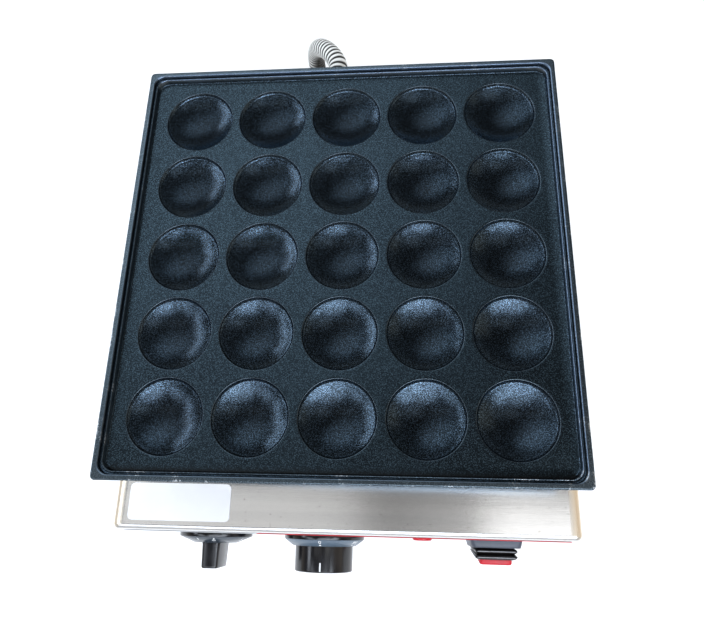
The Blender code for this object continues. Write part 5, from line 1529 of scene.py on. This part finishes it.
def make_pleat_beads():
    """A thin light grey bead along the ridge of each pleat, as a ring round the boot: a painted highlight."""
    for pleat in range(PLEATS):
        share = (pleat + 0.5) / PLEATS
        ridge = neck_distance + share * PLEATS * PLEAT_PITCH
        bm = bmesh.new()
        rings = []
        for turn in (math.tau * side / BEAD_SIDES for side in range(BEAD_SIDES)):
            reach = PLEAT_REACH + BEAD_RADIUS * math.cos(turn)
            rings.append(tilted(bm, BOOT_WIDTH + 2 * reach, BOOT_HEIGHT + 2 * reach, BOOT_CORNER + reach / 2,
                                ridge + BEAD_RADIUS * math.sin(turn), share))
        bridged(bm, rings, "joined")
        bead = finished(f"pleat_bead_{pleat + 1}", bm, pleat_highlight_rubber, on_panel(switch_front),
                        body=None, sharp=60)
        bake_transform(bead)


def make_boot():
    bm = bmesh.new()
    outside, inside = [
        [tilted(bm, BOOT_WIDTH + 2 * (reach - wall), BOOT_HEIGHT + 2 * (reach - wall), BOOT_CORNER - wall / 2,
                distance, share) for reach, distance, share in boot_rows()]
        for wall in (0.0, BOOT_WALL)
    ]
    top_edge = tilted(bm, BOOT_WIDTH - BOOT_WALL, BOOT_HEIGHT - BOOT_WALL, BOOT_CORNER,
                      top_distance + 0.15 * MM, 1)
    bridged(bm, [inside[0]] + outside + [top_edge], "open")
    bmesh.ops.translate(bm, vec=(0, 0, -BOOT_WALL), verts=inside[-1])
    bridged(bm, inside, "open")
    for ring in (top_edge, inside[-1]):
        bmesh.ops.edgeloop_fill(bm, edges=edges_of(ring))
    boot = finished("pleated_boot", bm, boot_rubber, on_panel(switch_front), body=None,
                    sharp=50, node="switch_boot")
    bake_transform(boot)


make_boot()
make_pleat_beads()

# %% Bezel and cap
CAP_WIDTH = 21.5 * MM
CAP_LENGTH = 27 * MM
CAP_CORNER = 2.5 * MM
CAP_THICKNESS = 3.3 * MM


def make_bezel():
    low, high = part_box("switch_bezel")
    width, height = high.x - low.x, high.z - low.z
    top = SEAT + BEZEL_THICKNESS
    hole_width, hole_height = BOOT_WIDTH + 0.6 * MM, BOOT_HEIGHT + 0.6 * MM
    shoulder = 2.2 * MM
    rings = [
        (hole_width, hole_height, BOOT_CORNER, SEAT), (width, height, 3 * MM, SEAT),
        (width - 0.2 * MM, height - 0.2 * MM, 3 * MM, SEAT + 1.6 * MM),
        (width - 1.6 * MM, height - 1.6 * MM, 3.2 * MM, top - 0.8 * MM),
        (width - 2.0 * MM, height - 2.0 * MM, 3.2 * MM, top - 0.25 * MM),
        (width - 2.8 * MM, height - 2.8 * MM, 3.0 * MM, top),
        (hole_width + shoulder, hole_height + shoulder, BOOT_CORNER + shoulder / 4, top),
        (hole_width + 0.6 * MM, hole_height + 0.6 * MM, BOOT_CORNER, top - 0.3 * MM),
        (hole_width, hole_height, BOOT_CORNER, top - 0.9 * MM),
    ]
    finished("switch_surround", box_skin(rings, 8, "joined"), bezel_plastic,
             on_panel(switch_front), sharp=50, node="switch_bezel")


def make_cap():
    bm = bmesh.new()
    rows = [(0, -CAP_THICKNESS), (0, -1.1 * MM), (0.12 * MM, -0.6 * MM), (0.4 * MM, -0.18 * MM),
            (0.8 * MM, 0), (2.2 * MM, 0), (2.8 * MM, -0.35 * MM)]
    rings = [
        tilted(bm, CAP_WIDTH - 2 * inward, CAP_LENGTH - 2 * inward, CAP_CORNER - inward / 2,
               top_distance + 0.3 * MM + CAP_THICKNESS + drop, 1)
        for inward, drop in rows
    ]
    bridged(bm, rings)
    finished("rocker_cap_moulding", bm, red_plastic, on_panel(switch_front), "rocker",
             sharp=40, node="rocker_cap")


make_bezel()
make_cap()

# %% [markdown]
# ## Floor, world and lamps
#
# The photograph has a pure white ground and soft daylight. Every shiny part shows a piece of the
# room, so each light is placed where one part mirrors it. The coat's flat land mirrors the wall
# behind the grill, so a soft bluish patch stands there; the pits' far walls mirror the windows
# in front and to the left; the steel ledge mirrors a narrow row of ceiling panels, which hardly
# reach anything else; its right end mirrors a warm wall. The dome is dark overhead, where the
# photographer stands, and bright at the horizon, where the knobs and the lamp look.
#
# The floor stays matt and keeps the shadow; to the camera and to mirrors it also glows a little,
# so that it reads as white paper. Seen from below it is clear, so that the underside shows.

# %% Floor
FLOOR_REACH = 6
PAPER = (0.80, 0.80, 0.80)
PAPER_GLOW = 0.40
WHITE = (1, 1, 1)


def both_of(tree, first, second):
    return add(tree, "AddShader", {0: first.outputs[0], 1: second.outputs[0]}).outputs[0]


def make_paper():
    paper = bpy.data.materials.new("white paper floor")
    paper.use_nodes = True
    tree = paper.node_tree
    tree.nodes.clear()
    rays = add(tree, "LightPath").outputs
    seen = math_node(tree, "MAXIMUM", rays["Is Camera Ray"], rays["Is Glossy Ray"])
    seen = math_node(tree, "MAXIMUM", seen, rays["Is Transmission Ray"])
    matt = add(tree, "BsdfDiffuse", {"Color": PAPER})
    glow = add(tree, "Emission", {"Color": WHITE, "Strength": times(tree, seen, PAPER_GLOW)})
    from_below = add(tree, "NewGeometry").outputs["Backfacing"]
    clear = add(tree, "BsdfTransparent").outputs[0]
    mixed = add(tree, "MixShader", {0: from_below, 1: both_of(tree, matt, glow), 2: clear})
    add(tree, "OutputMaterial", {"Surface": mixed.outputs[0]})
    return paper


def make_floor():
    bm = bmesh.new()
    bmesh.ops.create_grid(bm, x_segments=1, y_segments=1, size=FLOOR_REACH)
    floor = into_scene("floor", mesh_of(bm, "floor"))
    floor.data.materials.append(make_paper())
    print("floor", floor.name)


make_floor()

# %% World and lamps
DOME = (0.125, 0.120, 0.115)
HORIZON = (0.80, 0.74, 0.66)
HORIZON_RISE = 0.36
PATCH_COLOUR = (0.105, 0.122, 0.138)
PATCH_TOWARD = Vector((-0.31, 0.58, 0.75)).normalized()
PATCH_EDGE = 36
PATCH_FLAT = 8
PATCH_STRENGTH = 16.0
PATCH_LOW = 0.54
PATCH_FULL = 0.74


def sky_patch(tree, direction):
    """A round soft patch of light behind the grill, cut off softly below."""
    facing = add(tree, "VectorMath", {0: direction, 1: PATCH_TOWARD}, operation="DOT_PRODUCT")
    limits = [math.cos(math.radians(angle)) for angle in (PATCH_EDGE, PATCH_FLAT)]
    round_part = ramp(tree, facing.outputs["Value"], *limits, 0.0, PATCH_STRENGTH)
    return times(tree, round_part, ramp(tree, axis_of(tree, direction, "Z"), PATCH_LOW, PATCH_FULL))


def make_world():
    world = bpy.data.worlds.new("pale dome")
    bpy.context.scene.world = world
    world.use_nodes = True
    tree = world.node_tree
    tree.nodes.clear()
    direction = add(tree, "TexCoord").outputs["Generated"]
    high = ramp(tree, axis_of(tree, direction, "Z"), 0.0, HORIZON_RISE)
    dome = add(tree, "Background", {"Color": blend_colours(tree, high, HORIZON, DOME)})
    patch = add(tree, "Background", {"Color": PATCH_COLOUR, "Strength": sky_patch(tree, direction)})
    add(tree, "OutputWorld", {"Surface": both_of(tree, dome, patch)})


def soft_lamp(name, place, target, size, brightness, colour=WHITE):
    """A rectangular lamp of a given brightness, turned to a target."""
    lamp = bpy.data.lights.new(name, "AREA")
    lamp.shape = "RECTANGLE"
    lamp.size, lamp.size_y = size
    lamp.energy = brightness * math.pi * size[0] * size[1]
    lamp.color = colour
    aim = (Vector(target) - Vector(place)).to_track_quat("-Z", "Y")
    into_scene(name, lamp).matrix_world = Matrix.Translation(place) @ aim.to_matrix().to_4x4()
    print(name, round(lamp.energy, 2), "W")


MIDDLE = Vector((0, 0, 0.15))
WINDOW_DISTANCE = 1.8
WINDOW_WIDTH = 1.0
WINDOW_COLOUR = (0.82, 0.89, 1.0)
WINDOWS = (
    ("front right window", -50, 43, 0.54, 7.5), ("front window", -87, 46, 0.60, 6.5),
    ("high front window", -80, 61, 0.32, 5.0), ("front left window", -132, 43, 0.45, 3.8),
    ("left window", 184, 34, 0.34, 5.5), ("far left window", 154, 25, 0.34, 5.5),
)
WALL_PLACE = (1.75, -0.1, 0.95)
WALL_SIZE = (1.1, 1.3)
WALL_BRIGHTNESS = 0.62
WALL_COLOUR = (1.0, 0.84, 0.64)
CEILING_HEIGHT = 2.35
CEILING_PLACE = -0.33
CEILING_WIDTH = 0.40
CEILING_PANELS = (
    (-1.50, -0.85, 0.80), (-0.85, -0.11, 0.65), (-0.11, 0.15, 0.18), (0.15, 0.45, 0.34), (0.45, 1.20, 1.54),
    (1.20, 2.40, 0.95),
)
make_world()
for name, angle, rise, height, brightness in WINDOWS:
    turn, lift = math.radians(angle), math.radians(rise)
    out = Vector((math.cos(turn) * math.cos(lift), math.sin(turn) * math.cos(lift), math.sin(lift)))
    soft_lamp(name, MIDDLE + WINDOW_DISTANCE * out, MIDDLE, (WINDOW_WIDTH, height), brightness, WINDOW_COLOUR)
soft_lamp("warm wall", WALL_PLACE, MIDDLE, WALL_SIZE, WALL_BRIGHTNESS, WALL_COLOUR)
for start, end, brightness in CEILING_PANELS:
    overhead = Vector(((start + end) / 2, CEILING_PLACE, CEILING_HEIGHT))
    below = overhead - Vector((0, 0, 1))
    soft_lamp("ceiling panel", overhead, below, (end - start, CEILING_WIDTH), brightness)
